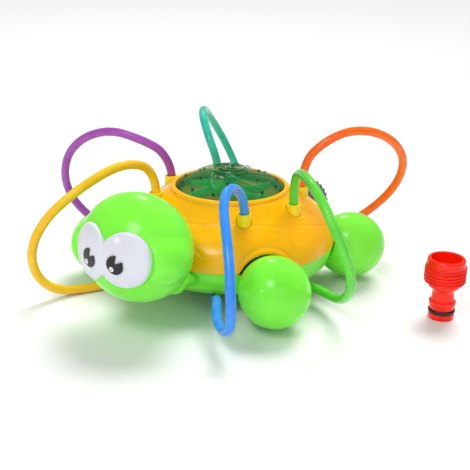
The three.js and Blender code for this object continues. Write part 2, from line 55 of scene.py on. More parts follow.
# ------------------------------------------------------------------ camera
CAM_C = np.array([479.905, 326.682, 255.322])
CAM_D = Vector((-0.77465693, -0.51923776, -0.36096923)).normalized()
ROLL = math.radians(1.21)
right = CAM_D.cross(Vector((0, 0, 1))).normalized()
up = right.cross(CAM_D).normalized()
r2 = right * math.cos(ROLL) + up * math.sin(ROLL)
u2 = up * math.cos(ROLL) - right * math.sin(ROLL)
cam_data = bpy.data.cameras.new("camera")
cam_data.sensor_fit = "HORIZONTAL"
cam_data.sensor_width = 36.0
cam_data.lens = 68.84
cam_data.clip_start = 0.02
cam_data.clip_end = 20
cam = bpy.data.objects.new("camera", cam_data)
bpy.context.scene.collection.objects.link(cam)
m = Matrix((r2, u2, -CAM_D)).transposed().to_4x4()
m.translation = Vector(W(CAM_C))
cam.matrix_world = m
bpy.context.scene.camera = cam


# --------------------------------------------------------------- materials
def srgb(r, g, b):
    f = lambda c: c / 12.92 if c <= 0.04045 else ((c + 0.055) / 1.055) ** 2.4
    return (f(r / 255), f(g / 255), f(b / 255), 1.0)


class Nodes:
    def __init__(self, name):
        self.mat = bpy.data.materials.new(name)
        self.mat.use_nodes = True
        self.t = self.mat.node_tree
        self.bsdf = self.t.nodes["Principled BSDF"]
        self.coord = self.t.nodes.new("ShaderNodeTexCoord")

    def add(self, kind, **sockets):
        n = self.t.nodes.new(kind)
        for k, v in sockets.items():
            n.inputs[k.replace("_", " ")].default_value = v
        return n

    def link(self, a, b):
        self.t.links.new(a, b)

    def noise(self, scale, detail=2.0, rough=0.5):
        n = self.add("ShaderNodeTexNoise", Scale=scale, Detail=detail, Roughness=rough)
        self.link(self.coord.outputs["Object"], n.inputs["Vector"])
        return n.outputs["Fac"]

    def voronoi(self, scale):
        n = self.add("ShaderNodeTexVoronoi", Scale=scale)
        self.link(self.coord.outputs["Object"], n.inputs["Vector"])
        return n.outputs["Distance"]

    def remap(self, fac, lo, hi, a=0.0, b=1.0):
        n = self.t.nodes.new("ShaderNodeMapRange")
        n.inputs["From Min"].default_value = lo
        n.inputs["From Max"].default_value = hi
        n.inputs["To Min"].default_value = a
        n.inputs["To Max"].default_value = b
        self.link(fac, n.inputs["Value"])
        return n.outputs["Result"]

    def mix(self, fac, a, b):
        n = self.t.nodes.new("ShaderNodeMix")
        n.data_type = "RGBA"
        self.link(fac, n.inputs[0])
        for sock, v in ((n.inputs[6], a), (n.inputs[7], b)):
            if isinstance(v, tuple):
                sock.default_value = v
            else:
                self.link(v, sock)
        return n.outputs[2]

    def bump(self, height, strength, distance, normal=None):
        n = self.t.nodes.new("ShaderNodeBump")
        n.inputs["Strength"].default_value = strength
        n.inputs["Distance"].default_value = distance
        self.link(height, n.inputs["Height"])
        if normal is not None:
            self.link(normal, n.inputs["Normal"])
        return n.outputs["Normal"]

    def set(self, **sockets):
        for k, v in sockets.items():
            self.bsdf.inputs[k].default_value = v


def shade(c, k):
    return (c[0] * k, c[1] * k, c[2] * k, 1.0)


def moulded(name, colour, rough=0.22, var=0.06, coat=0.25, sss=0.0, deep=None, wave=0.00012):
    """glossy injection-moulded plastic: slight tone drift, flow marks, faint handling haze and orange peel"""
    n = Nodes(name)
    tone = n.noise(26.0, 3.0, 0.55)
    flow = n.noise(190.0, 2.0, 0.5)
    dark = deep or shade(colour, 1 - 2.2 * var)
    base = n.mix(n.remap(tone, 0.30, 0.72), dark, colour)
    base = n.mix(n.remap(flow, 0.35, 0.75, 0.0, 0.35), base, shade(colour, 1 + var))
    n.link(base, n.bsdf.inputs["Base Color"])
    haze = n.noise(75.0, 4.0, 0.6)
    n.link(n.remap(haze, 0.3, 0.75, rough * 0.8, rough * 1.35), n.bsdf.inputs["Roughness"])
    peel = n.noise(330.0, 2.0, 0.5)
    warp = n.noise(38.0, 2.0, 0.5)
    nb = n.bump(warp, 0.25, wave * 2.0)
    n.link(n.bump(peel, 0.22, wave * 0.35, nb), n.bsdf.inputs["Normal"])
    n.set(**{"Coat Weight": coat * 0.45, "Coat Roughness": 0.09, "IOR": 1.5, "Specular IOR Level": 0.3})
    if sss:
        n.set(**{"Subsurface Weight": sss, "Subsurface Scale": 0.004, "Subsurface Radius": (1.0, 0.6, 0.35)})
    return n.mat


def matte(name, colour, rough=0.5, var=0.1, grain=420.0, height=0.00012):
    n = Nodes(name)
    tone = n.noise(40.0, 3.0, 0.6)
    base = n.mix(n.remap(tone, 0.3, 0.7), shade(colour, 1 - var), shade(colour, 1 + var))
    n.link(base, n.bsdf.inputs["Base Color"])
    g = n.noise(grain, 3.0, 0.6)
    n.link(n.remap(g, 0.3, 0.7, rough * 0.85, min(1.0, rough * 1.15)), n.bsdf.inputs["Roughness"])
    n.link(n.bump(g, 0.4, height), n.bsdf.inputs["Normal"])
    return n.mat


def steel(name):
    n = Nodes(name)
    g = n.noise(300.0, 3.0, 0.6)
    n.link(n.mix(n.remap(g, 0.3, 0.7), (0.42, 0.43, 0.45, 1), (0.66, 0.66, 0.67, 1)), n.bsdf.inputs["Base Color"])
    n.link(n.remap(g, 0.3, 0.7, 0.22, 0.42), n.bsdf.inputs["Roughness"])
    n.link(n.bump(g, 0.3, 0.00005), n.bsdf.inputs["Normal"])
    n.set(Metallic=1.0)
    return n.mat


def tube_skin(name, colour, bright, deep):
    """soft pvc tubing: even colour that lightens where light gets through, glossy with a faint extrusion ripple"""
    n = Nodes(name)
    tone = n.noise(34.0, 2.0, 0.5)
    base = n.mix(n.remap(tone, 0.3, 0.7), deep, colour)
    base = n.mix(n.remap(n.noise(150.0, 3.0, 0.6), 0.35, 0.8, 0.0, 0.3), base, bright)
    n.link(base, n.bsdf.inputs["Base Color"])
    rip = n.noise(120.0, 2.0, 0.5)
    n.link(n.remap(rip, 0.3, 0.7, 0.2, 0.34), n.bsdf.inputs["Roughness"])
    n.link(n.bump(rip, 0.25, 0.00008), n.bsdf.inputs["Normal"])
    n.set(**{"Coat Weight": 0.15, "Coat Roughness": 0.12, "Specular IOR Level": 0.35, "Subsurface Weight": 0.15,
             "Subsurface Scale": 0.003, "Subsurface Radius": (1.0, 0.8, 0.6)})
    return n.mat


def clear_green(name):
    """thin tinted moulding: light passes, and the plate below shows through darkened; the relief's crests get a
    painted highlight and its steep flanks painted shade
    """
    n = Nodes(name)
    tone = n.noise(60.0, 3.0, 0.6)
    streak = n.noise(210.0, 3.0, 0.6)
    base = n.mix(n.remap(tone, 0.3, 0.7), srgb(14, 112, 52), srgb(40, 150, 78))
    base = n.mix(n.remap(streak, 0.4, 0.75, 0.0, 0.45), base, srgb(72, 176, 104))
    crest_painted_highlight = n.t.nodes.new("ShaderNodeAttribute")
    crest_painted_highlight.attribute_name = "crest_painted_highlight"
    flank_painted_shade_and_alpha = n.t.nodes.new("ShaderNodeAttribute")
    flank_painted_shade_and_alpha.attribute_name = "flank_painted_shade_and_alpha"
    # painted highlight: lighter green on the relief's crests
    base = n.mix(n.remap(crest_painted_highlight.outputs["Fac"], 0.35, 1.0, 0.0, 0.85), base, srgb(60, 206, 122))
    # painted shade: darker green on the relief's steep flanks
    base = n.mix(n.remap(flank_painted_shade_and_alpha.outputs["Fac"], 0.25, 1.0, 0.0, 0.85), base, srgb(6, 70, 38))
    n.link(base, n.bsdf.inputs["Base Color"])
    n.link(n.remap(n.noise(90.0, 3.0), 0.3, 0.7, 0.05, 0.12), n.bsdf.inputs["Roughness"])
    n.link(n.remap(flank_painted_shade_and_alpha.outputs["Fac"], 0.1, 0.9, 0.30, 0.58), n.bsdf.inputs["Alpha"])
    n.link(n.bump(n.noise(55.0, 2.0), 0.3, 0.0003), n.bsdf.inputs["Normal"])
    n.set(**{"IOR": 1.46, "Specular IOR Level": 0.4, "Coat Weight": 0.15, "Coat Roughness": 0.05})
    return n.mat


def under_dome(name):
    """turning plate below the dome: olive plate with bright green vanes and hub, split by height"""
    n = Nodes(name)
    xyz = n.t.nodes.new("ShaderNodeSeparateXYZ")
    n.link(n.coord.outputs["Object"], xyz.inputs[0])
    rise = n.remap(xyz.outputs["Z"], 0.0606, 0.0612)
    tone = n.noise(48.0, 3.0, 0.6)
    plate_c = n.mix(n.remap(tone, 0.4, 0.75), srgb(224, 128, 30), srgb(110, 176, 48))
    vane_c = n.mix(n.remap(n.noise(160.0, 2.0), 0.3, 0.7), srgb(30, 236, 80), srgb(110, 255, 130))
    n.link(n.mix(rise, plate_c, vane_c), n.bsdf.inputs["Base Color"])
    n.link(n.remap(n.noise(75.0, 4.0), 0.3, 0.75, 0.18, 0.3), n.bsdf.inputs["Roughness"])
    n.link(n.bump(n.noise(330.0, 2.0), 0.22, 0.00006), n.bsdf.inputs["Normal"])
    n.set(**{"Coat Weight": 0.2, "Coat Roughness": 0.09})
    return n.mat


LIME = srgb(112, 246, 52)
M = {
    "lime": moulded("lime_plastic", srgb(134, 246, 72), 0.24, 0.04, 0.3, 0.12, srgb(120, 238, 60)),
    "orange": moulded("shell_orange", srgb(255, 189, 2), 0.24, 0.04, 0.3, 0.10, srgb(254, 176, 1)),
    "yellow": moulded("socket_yellow", srgb(255, 226, 10), 0.26, 0.04, 0.25, 0.10, srgb(250, 214, 8)),
    "white": moulded("eye_white", srgb(222, 223, 232), 0.2, 0.02, 0.3, 0.08, srgb(214, 215, 226)),
    "black": moulded("pupil_black", srgb(30, 30, 36), 0.25, 0.15, 0.3),
    "glint": moulded("pupil_glint", srgb(244, 244, 250), 0.25, 0.02, 0.3),
    "dome": clear_green("dome_green"),
    "rotor": under_dome("rotor_green"),
    # painted shade: dark green for the spray hole rims, standing in for the dark of the holes
    "nozzle": moulded("nozzle_painted_shade_green", srgb(18, 74, 40), 0.3, 0.1, 0.2),
    "cap_green": moulded("cap_green", srgb(46, 150, 66), 0.35, 0.08, 0.2),
    "natural": matte("inner_natural", srgb(222, 218, 206), 0.45, 0.05),
    "grey": matte("union_grey", srgb(98, 102, 98), 0.5, 0.12, 500.0, 0.0002),
    "red": moulded("adapter_red", srgb(255, 40, 12), 0.24, 0.06, 0.3, 0.06, srgb(240, 30, 8)),
    "grey_dot": matte("pupil_grey_dot", srgb(120, 120, 128), 0.4, 0.06),
    "rubber": matte("rubber_black", srgb(26, 24, 22), 0.42, 0.2, 300.0, 0.0001),
    "steel": steel("steel"),
    "tube_blue": tube_skin("tube_blue", srgb(56, 146, 240), srgb(104, 172, 250), srgb(36, 130, 232)),
    "tube_green": tube_skin("tube_green", srgb(98, 214, 62), srgb(142, 236, 100), srgb(78, 196, 44)),
    "tube_orange": tube_skin("tube_orange", srgb(255, 112, 6), srgb(255, 142, 40), srgb(250, 96, 4)),
    "tube_teal": tube_skin("tube_teal", srgb(48, 194, 170), srgb(92, 222, 204), srgb(38, 178, 154)),
    "tube_purple": tube_skin("tube_purple", srgb(168, 78, 184), srgb(188, 104, 204), srgb(150, 62, 166)),
    "tube_yellow": tube_skin("tube_yellow", srgb(250, 198, 28), srgb(255, 216, 70), srgb(242, 180, 18)),
}


# ------------------------------------------------------------ mesh helpers
def mesh(name, verts, faces, mat, body, nodes=(), flat=False, sub=0, autosmooth=None):
    me = bpy.data.meshes.new(name)
    me.from_pydata([tuple(v) for v in verts], [], [tuple(f) for f in faces])
    me.validate()
    me.update()
    bm = bmesh.new()
    bm.from_mesh(me)
    bmesh.ops.remove_doubles(bm, verts=bm.verts, dist=1e-7)
    bmesh.ops.recalc_face_normals(bm, faces=bm.faces)
    bm.to_mesh(me)
    bm.free()
    ob = bpy.data.objects.new(name, me)
    bpy.context.scene.collection.objects.link(ob)
    me.materials.append(mat)
    for p in me.polygons:
        p.use_smooth = not flat
    if sub:
        s = ob.modifiers.new("sub", "SUBSURF")
        s.levels = s.render_levels = sub
    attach(ob, body)
    if nodes:
        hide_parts(*nodes)
    if autosmooth is not None:
        sharp(ob, autosmooth)
    return ob


def sharp(ob, angle):
    """mark edges sharper than angle (degrees) so that smooth shading stops there"""
    me = ob.data
    bm = bmesh.new()
    bm.from_mesh(me)
    lim = math.radians(angle)
    for e in bm.edges:
        if len(e.link_faces) == 2 and e.calc_face_angle(0) > lim:
            e.smooth = False
    bm.to_mesh(me)
    bm.free()


def grid(rows, closed_u=True, closed_v=False):
    """rows[i][j] -> faces of a grid, i along v, j along u; returns flat verts and faces"""
    nv, nu = len(rows), len(rows[0])
    verts = np.asarray(rows, float).reshape(-1, 3)
    faces = []
    for i in range(nv if closed_v else nv - 1):
        i2 = (i + 1) % nv
        for j in range(nu if closed_u else nu - 1):
            j2 = (j + 1) % nu
            faces.append((i * nu + j, i * nu + j2, i2 * nu + j2, i2 * nu + j))
    return verts, faces


def fillet(profile, radii, n=4, closed=False):
    """rounds the corners of an (r, z) polyline; radii one per point (0 leaves it sharp)"""
    out = []
    N = len(profile)
    for i, (p, rad) in enumerate(zip(profile, radii)):
        p = np.array(p, float)
        if not rad or (not closed and i in (0, N - 1)):
            out.append(tuple(p))
            continue
        a = np.array(profile[i - 1], float)
        b = np.array(profile[(i + 1) % N], float)
        da, db = a - p, b - p
        la, lb = np.linalg.norm(da), np.linalg.norm(db)
        da, db = da / la, db / lb
        cosang = np.clip(da @ db, -1, 1)
        half = math.acos(cosang) / 2
        t = min(rad / max(math.tan(half), 1e-6), la * 0.48, lb * 0.48)
        for k in range(n + 1):
            s = k / n
            # quadratic curve between the two tangent points
            q = (1 - s) ** 2 * (p + da * t) + 2 * s * (1 - s) * p + s * s * (p + db * t)
            out.append(tuple(q))
    return out


def revolve(profile, seg=96, at=(0, 0, 0), axis="z", closed=True, fn=None):
    """(r, h) profile turned about +z or +x; fn(r, h, theta) -> r may shape it"""
    prof = list(profile)
    th = np.linspace(0, 2 * math.pi, seg, endpoint=False)
    rows = []
    for r, h in prof:
        rr = np.full(seg, float(r)) if fn is None else fn(r, h, th)
        if axis == "z":
            rows.append(np.stack([at[0] + rr * np.cos(th), at[1] + rr * np.sin(th), np.full(seg, at[2] + h)], 1))
        else:
            rows.append(np.stack([np.full(seg, at[0] + h), at[1] + rr * np.cos(th), at[2] + rr * np.sin(th)], 1))
    return grid(rows, True, closed)


def lathe(name, profile, mat, body, nodes=(), seg=96, at=(0, 0, 0), axis="z", closed=True, fn=None, angle=40):
    v, f = revolve(profile, seg, at, axis, closed, fn)
    return mesh(name, W(v), f, mat, body, nodes, autosmooth=angle)


def resample(profile, step):
    """even points along a polyline, keeping its ends"""
    p = np.asarray(profile, float)
    s = np.r_[0, np.cumsum(np.linalg.norm(np.diff(p, axis=0), axis=1))]
    n = max(2, int(math.ceil(s[-1] / step)) + 1)
    t = np.linspace(0, s[-1], n)
    return np.stack([np.interp(t, s, p[:, 0]), np.interp(t, s, p[:, 1])], 1)


def catmull(points, n):
    """centripetal-free uniform Catmull-Rom through the points, n samples a span"""
    p = np.asarray(points, float)
    p = np.vstack([2 * p[0] - p[1], p, 2 * p[-1] - p[-2]])
    out = []
    for i in range(1, len(p) - 2):
        for k in range(n):
            t = k / n
            a, b, c, d = p[i - 1], p[i], p[i + 1], p[i + 2]
            out.append(0.5 * (2 * b + (c - a) * t + (2 * a - 5 * b + 4 * c - d) * t * t + (3 * b - a - 3 * c + d) * t ** 3))
    out.append(p[-2])
    return np.array(out)


# -------------------------------------------------------------------- cords
ROUTES = {
    "blue": [
        (35.6, 35.6, 56.2), (35.6, 35.6, 66), (38.3, 35.3, 75.3), (45, 35.9, 82.2),
        (53.9, 37.6, 85.6), (63.1, 40.7, 85.8), (71.5, 44.9, 83.1), (78.6, 49.9, 78.8),
        (84.8, 55.3, 73.4), (90.3, 60.5, 67.2), (95.3, 65.1, 60.2), (99.7, 69, 52.4),
        (103.1, 71.9, 43.8), (104.6, 73.5, 34.3), (103.3, 72.2, 24.8), (99.5, 67.2, 17.5),
        (94, 59.7, 14.7), (87.7, 52.5, 15.9), (80.3, 46.7, 18.6), (72.3, 41.2, 19.4),
        (65.4, 35.5, 15.8), (59.3, 29.9, 10.6), (51.7, 24, 9.3), (43.2, 19.2, 9.5),
        (34.2, 15.5, 9.4), (25.1, 11.9, 9.2), (16.1, 8.2, 9.1),
    ],
    "green": [
        (0, 50.3, 56.2), (0, 50.3, 66), (1.2, 51.2, 75.7), (5.3, 54.5, 83.9),
        (11.7, 59.9, 89), (18.9, 66, 91.9), (26.2, 72.4, 93.5), (33.4, 79, 94.1),
        (40.5, 85.9, 93.7), (46.7, 93.1, 91.5), (51.1, 100.3, 86.5), (54, 106.8, 79.7),
        (54.7, 112.2, 71.5), (53.4, 116, 62.6), (50.4, 117.7, 53.4), (46.1, 117.4, 44.5),
        (40.9, 115.2, 36.5), (35, 111.4, 29.6), (28.8, 106.6, 23.7), (22.6, 100.8, 18.6),
        (16.5, 94.2, 14.7), (10.7, 86.6, 12.2), (5.7, 78.3, 10.9), (1.8, 69.3, 10.2),
        (-0.2, 59.7, 9.6), (-0.8, 49.8, 9.4), (-0.6, 40, 9.4),
    ],
    "orange": [
        (-35.6, 35.6, 56.2), (-35.6, 35.6, 66), (-36.3, 36.7, 75.8), (-38.3, 39.4, 85),
        (-42.5, 44.5, 92.2), (-48.2, 50.4, 97.6), (-55, 56.5, 101.1), (-62.5, 62.8, 102),
        (-70.2, 68.7, 100.7), (-78, 73.7, 97.4), (-85.6, 77.5, 92.4), (-92.6, 80, 86),
        (-98.7, 80.8, 78.4), (-103.3, 79.6, 69.8), (-106.1, 76.6, 60.9), (-107, 72.2, 52.1),
        (-106, 66.8, 44), (-103.3, 60.8, 36.7), (-99.1, 54.6, 30.3), (-93.5, 48.8, 24.6),
        (-87.1, 43.3, 19.6), (-79.7, 38.3, 15.5), (-71.6, 33.6, 12.3), (-63.1, 29.1, 10.3),
        (-54.3, 24.9, 9.6), (-45.3, 20.7, 9.4), (-36.4, 16.6, 9.4),
    ],
    "teal": [
        (-35.6, -35.6, 56.2), (-35.6, -35.6, 66), (-34.7, -38, 75.5), (-35.7, -42.8, 83.9),
        (-39.4, -48.8, 90.7), (-45.2, -55.2, 95.1), (-52.5, -61.4, 97.1), (-60.5, -67, 97.1),
        (-68.9, -72, 95.6), (-77.1, -76.1, 92.3), (-84.9, -79.1, 87.2), (-92.3, -80.7, 80.9),
        (-98.8, -80.7, 73.6), (-103.8, -79, 65.4), (-107.1, -76, 56.7), (-108.5, -71.8, 48),
        (-107.7, -66.6, 39.7), (-105, -61.1, 32.1), (-100.4, -55.4, 25.6), (-94.4, -49.8, 20.3),
        (-87.4, -44.4, 16.1), (-79.6, -39.2, 13.1), (-71.3, -34.4, 11.2), (-62.6, -29.9, 10.1),
        (-53.9, -25.6, 9.6), (-45, -21.3, 9.4), (-36.1, -17.1, 9.4),
    ],
    "purple": [
        (0, -50.3, 56.2), (0, -50.3, 66), (2.2, -52.3, 75.2), (5.9, -56.7, 83.1),
        (10.7, -63.5, 88), (15, -71.6, 91.4), (18, -80.6, 93.6), (20.3, -90.1, 93.5),
        (22.2, -99.4, 91.2), (23.5, -108.2, 87.2), (24.1, -116.2, 81.7), (24.1, -123.2, 74.9),
        (23.4, -128.7, 66.9), (22.1, -132.4, 57.9), (20.3, -133.8, 48.5), (17.8, -132.7, 39.1),
        (14.8, -129.1, 30.6), (11.6, -123.2, 23.5), (8.6, -115.8, 17.9), (6, -107.4, 13.8),
        (3.9, -98.2, 11.1), (2.2, -88.7, 9.6), (1, -79, 9), (0.2, -69.3, 9),
        (-0.3, -59.5, 9.2), (-0.4, -49.8, 9.4), (-0.3, -40, 9.4),
    ],
    "yellow": [
        (35.6, -35.6, 56.2), (35.6, -35.6, 65.9), (37.6, -36.6, 75.3), (43.4, -38.3, 82.7),
        (52.2, -40.5, 86.1), (61.6, -42.7, 86.9), (70.8, -45.1, 85.4), (79.6, -47.8, 82.4),
        (87.9, -50.9, 78.5), (95.5, -54.5, 73.7), (102.3, -58.5, 68), (108, -62.7, 61.3),
        (112.3, -66.5, 53.5), (114.9, -69.8, 44.8), (115.4, -72, 35.4), (113.5, -72.9, 26),
        (109.4, -72.4, 17.2), (103.2, -70.5, 10.1), (95.3, -67.4, 5.6), (86.7, -63.4, 3.7),
        (78.3, -58.5, 3.4), (70.1, -53.3, 4.1), (62.2, -47.9, 5.5), (54.5, -42.3, 7.3),
        (46.8, -36.5, 8.8), (39.1, -30.6, 9.5), (31.5, -24.6, 9.4),
    ],
}
SOCKET_AT = {"blue": 45, "green": 90, "orange": 135, "teal": -135, "purple": -90, "yellow": -45}
TUBE_R = 3.0


def whip(name, pts):
    line = W(catmull(pts, 5))
    cu = bpy.data.curves.new("tube_" + name, "CURVE")
    cu.dimensions = "3D"
    sp = cu.splines.new("POLY")
    sp.points.add(len(line) - 1)
    for p, q in zip(sp.points, line):
        p.co = (q[0], q[1], q[2], 1.0)
    sp.use_smooth = True
    cu.bevel_depth = TUBE_R * 0.001
    cu.bevel_resolution = 8
    cu.use_fill_caps = True
    ob = bpy.data.objects.new("tube_" + name, cu)
    bpy.context.scene.collection.objects.link(ob)
    cu.materials.append(M["tube_" + name])
    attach(ob, "body")
    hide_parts("whip_tube_" + name)
    return ob


for _name, _pts in ROUTES.items():
    whip(_name, _pts)


# -------------------------------------------------------------------- shell
FOOT_POS = {"fl": (50, 68.5), "rl": (-50, 68.5), "fr": (50, -68.5), "rr": (-50, -68.5)}
FOOT_R, FOOT_LONG, FOOT_Z = 22.4, 1.07, 24.4

ENV = np.array([[0, 5], [59, 12.6], [64.9, 14.7], [69.7, 19.3], [71.9, 25.8], [73.1, 32.2], [71.9, 38.3],
                [68.9, 44.4], [63.4, 50.1], [56, 54.8]], float)


def smooth_profile(pts, step=0.35, n=10):
    return resample(catmull([(r, z) for r, z in pts], n), step)


def in_foot(p, grow):
    """inside any foot's ball grown by `grow` mm"""
    hit = np.zeros(p.shape[:-1], bool)
    k = (FOOT_R + grow) / FOOT_R
    for x, y in FOOT_POS.values():
        b = math.atan2(y, x)
        dx, dy, dz = p[..., 0] - x, p[..., 1] - y, p[..., 2] - FOOT_Z
        a = (dx * math.cos(b) + dy * math.sin(b)) / (FOOT_R * FOOT_LONG * k)
        c = (-dx * math.sin(b) + dy * math.cos(b)) / (FOOT_R * k)
        hit |= a * a + c * c + (dz / (FOOT_R * k)) ** 2 < 1
    return hit


SHELL_WALL = 2.2
# side wall from its foot up to the step under the rolled rim, then the rim itself
side = smooth_profile([(72.6, 32.2), (71.4, 38), (68.5, 44), (63, 49.6), (56, 54.2), (50, 57.9), (45, 61.8), (41, 65.0)], 0.3)
rim = smooth_profile([(41, 65.0), (40.45, 65.5), (40.2, 66.0), (40.25, 66.6), (39.9, 67.3), (39.2, 67.9),
                      (38.3, 68.2), (37.5, 68.1), (37.0, 67.7), (36.8, 67.2)], 0.3, 6)
side_len = float(np.linalg.norm(np.diff(side, axis=0), axis=1).sum())
side_s = np.r_[0, np.cumsum(np.linalg.norm(np.diff(side, axis=0), axis=1))]

NTH = 840
NV = 150
theta = np.linspace(0, 2 * math.pi, NTH, endpoint=False)


def side_at(s):
    return np.interp(s, side_s, side[:, 0]), np.interp(s, side_s, side[:, 1])


def arch_start():
    """arc length up the side at which the shell begins, for each bearing"""
    ss = np.linspace(0, side_len, 700)
    r, z = side_at(ss)
    P = np.stack([r[None] * np.cos(theta)[:, None], r[None] * np.sin(theta)[:, None], np.broadcast_to(z, (NTH, ss.size))], -1)
    hit = in_foot(P, 1.5)
    last = np.where(hit.any(1), ss.size - 1 - np.argmax(hit[:, ::-1], axis=1), 0)
    return ss[last]


S0 = arch_start()
# soften the two corners where each arch meets the straight lower edge
ker = np.hanning(11)
ker /= ker.sum()
S0 = np.convolve(np.r_[S0[-5:], S0, S0[:5]], ker, "valid")

from mathutils.kdtree import KDTree


def side_point(az, z):
    """outer surface of the side at a bearing (degrees) and a height"""
    r = np.interp(z, side[:, 1], side[:, 0])
    a = math.radians(az)
    return (r * math.cos(a), r * math.sin(a), z)


def radius_to_z(r):
    return float(np.interp(-r, -side[:, 0], side[:, 1]))


def strokes(lines, step=0.25):
    """dense points on the shell along polylines of (azimuth, height)"""
    pts = []
    for line in lines:
        q = np.array(line, float)
        fine = catmull(q, 12) if len(q) > 2 else np.stack([np.linspace(q[0, 0], q[1, 0], 60), np.linspace(q[0, 1], q[1, 1], 60)], 1)
        P = np.array([side_point(a, z) for a, z in fine])
        s = np.r_[0, np.cumsum(np.linalg.norm(np.diff(P, axis=0), axis=1))]
        t = np.arange(0, s[-1], step)
        pts.append(np.stack([np.interp(t, s, P[:, i]) for i in range(3)], 1))
    return np.vstack(pts)


def mirror(lines):
    return lines + [[(-a, z) for a, z in l] for l in lines]


GROOVES = mirror([
    # the long scute ring, dropping towards the tail
    [(0, 56.2), (8, 56.2), (30, 56.3), (52, 56.2), (68, 54.7), (80, 53.0), (92, 51.0), (111, 44.9), (124, 41.5), (140, 44.5), (160, 48.0), (180, 49.0)],
    # seams between the scutes
    [(56, 64.2), (54, 60.0), (52.5, 55.9)],
    [(68, 61.4), (64, 57.2)],
    [(136, 59.2), (139, 54.5), (142, 49.8)],
    [(70, 46.2), (70, 41.0)],
    [(15, 46.0), (18, 44.0), (21, 41.5)],
    [(100, 63.5), (106, 57.0), (108, 47.0)],
    [(164, 62.5), (163, 56.0), (162, 48.4)],
])
# the pocket that each side socket stands in
POCKETS = mirror([
    [(74, 63.2), (74.8, 56.4), (78.7, 54.2), (88.5, 53.4), (95, 53.0), (99.8, 52.8), (103.5, 55.5), (104.5, 60.0)],
])


def build_shell():
    S = np.linspace(0, 1, NV) ** 0.92
    rows = []
    for k in S:
        s = S0 + (side_len - S0) * k
        r, z = side_at(s)
        rows.append(np.stack([r * np.cos(theta), r * np.sin(theta), z], 1))
    P = np.array(rows)                      # NV x NTH x 3
    ds = np.array([(side_len - S0) * k for k in S])      # distance above the lower edge
    ss = S0[None] + ds

    # outward normals of the turned side
    e = 0.2
    ra, za = side_at(np.clip(ss - e, 0, side_len))
    rb, zb = side_at(np.clip(ss + e, 0, side_len))
    tr, tz = rb - ra, zb - za
    L = np.hypot(tr, tz)
    nr, nz = tz / L, -tr / L
    N = np.stack([nr * np.cos(theta)[None], nr * np.sin(theta)[None], nz], -1)

    def dist_field(pts):
        kd = KDTree(len(pts))
        for i, p in enumerate(pts):
            kd.insert(p, i)
        kd.balance()
        flat = P.reshape(-1, 3)
        return np.array([kd.find(p)[2] for p in flat]).reshape(P.shape[:2])

    # grooves between the scutes and round the socket pockets
    d = np.zeros(P.shape[:2])
    az = np.degrees(theta)
    g = dist_field(strokes(GROOVES))
    d -= 0.34 * np.exp(-(g / 0.8) ** 2)
    d -= 0.10 * np.exp(-(g / 2.2) ** 2)
    q = dist_field(strokes(POCKETS))
    d -= 0.22 * np.exp(-(q / 0.8) ** 2)
    # raised bead round the leg arches and a soft roll at the lower edge
    arch = smooth(S0 / 3.0)[None]
    d += 1.0 * arch * np.exp(-((ds - 1.3) / 1.5) ** 2)
    d -= 0.35 * arch * np.exp(-((ds - 4.6) / 1.2) ** 2)
    # seats of the six tube sockets
    for b in SOCKET_AT.values():
        cx, cy = 50.3 * math.cos(math.radians(b)), 50.3 * math.sin(math.radians(b))
        rho = np.hypot(P[..., 0] - cx, P[..., 1] - cy)
        d += 1.5 * np.exp(-(rho / 11.0) ** 2)
        d += 0.35 * np.exp(-((rho - 5.9) / 0.8) ** 2)
    P = P + N * d[..., None]
    for b in SOCKET_AT.values():
        cx, cy = 50.3 * math.cos(math.radians(b)), 50.3 * math.sin(math.radians(b))
        rho = np.hypot(P[..., 0] - cx, P[..., 1] - cy)
        P[..., 2] -= 8.5 * smooth((4.85 - rho) / 0.25)

    outer = [P[i] for i in range(NV)]
    rim_rows = [np.stack([np.full(NTH, r) * np.cos(theta), np.full(NTH, r) * np.sin(theta), np.full(NTH, z)], 1) for r, z in rim[1:]]
    # inside: the wall's thickness down from the rim
    inner_rim = [(36.8, 63.6), (40.0, 62.6), (43.4, 59.2)]
    in_rows = [np.stack([r * np.cos(theta), r * np.sin(theta), np.full(NTH, z)], 1) for r, z in inner_rim]
    for k in np.linspace(1, 0, 34):
        s = S0 + (side_len - 6.0 - S0) * k
        r, z = side_at(s)
        e2 = 0.3
        ra, za = side_at(np.clip(s - e2, 0, side_len))
        rb, zb = side_at(np.clip(s + e2, 0, side_len))
        L2 = np.hypot(rb - ra, zb - za)
        nr2, nz2 = (zb - za) / L2, -(rb - ra) / L2
        ri, zi = r - SHELL_WALL * nr2, z - SHELL_WALL * nz2
        in_rows.append(np.stack([ri * np.cos(theta), ri * np.sin(theta), np.maximum(zi, 32.2)], 1))
    # rounded lower edge between the two walls
    a, b = in_rows[-1], outer[0]
    lip = []
    for t in (0.2, 0.5, 0.8):
        m0 = a * (1 - t) + b * t
        m0[:, 2] -= 0.45 * math.sin(math.pi * t) * smooth(S0 / 2.0) * 0.6
        lip.append(m0)
    rows = outer + rim_rows + in_rows + lip
    v, f = grid(rows, True, True)
    return mesh("shell", W(v), f, M["orange"], "body", ("upper_shell",), autosmooth=70)


build_shell()


# --------------------------------------------------------------- boolean cut
def cutter(verts, faces):
    me = bpy.data.meshes.new("cutter")
    me.from_pydata([tuple(v) for v in verts], [], [tuple(f) for f in faces])
    bm = bmesh.new()
    bm.from_mesh(me)
    bmesh.ops.recalc_face_normals(bm, faces=bm.faces)
    bm.to_mesh(me)
    bm.free()
    return me


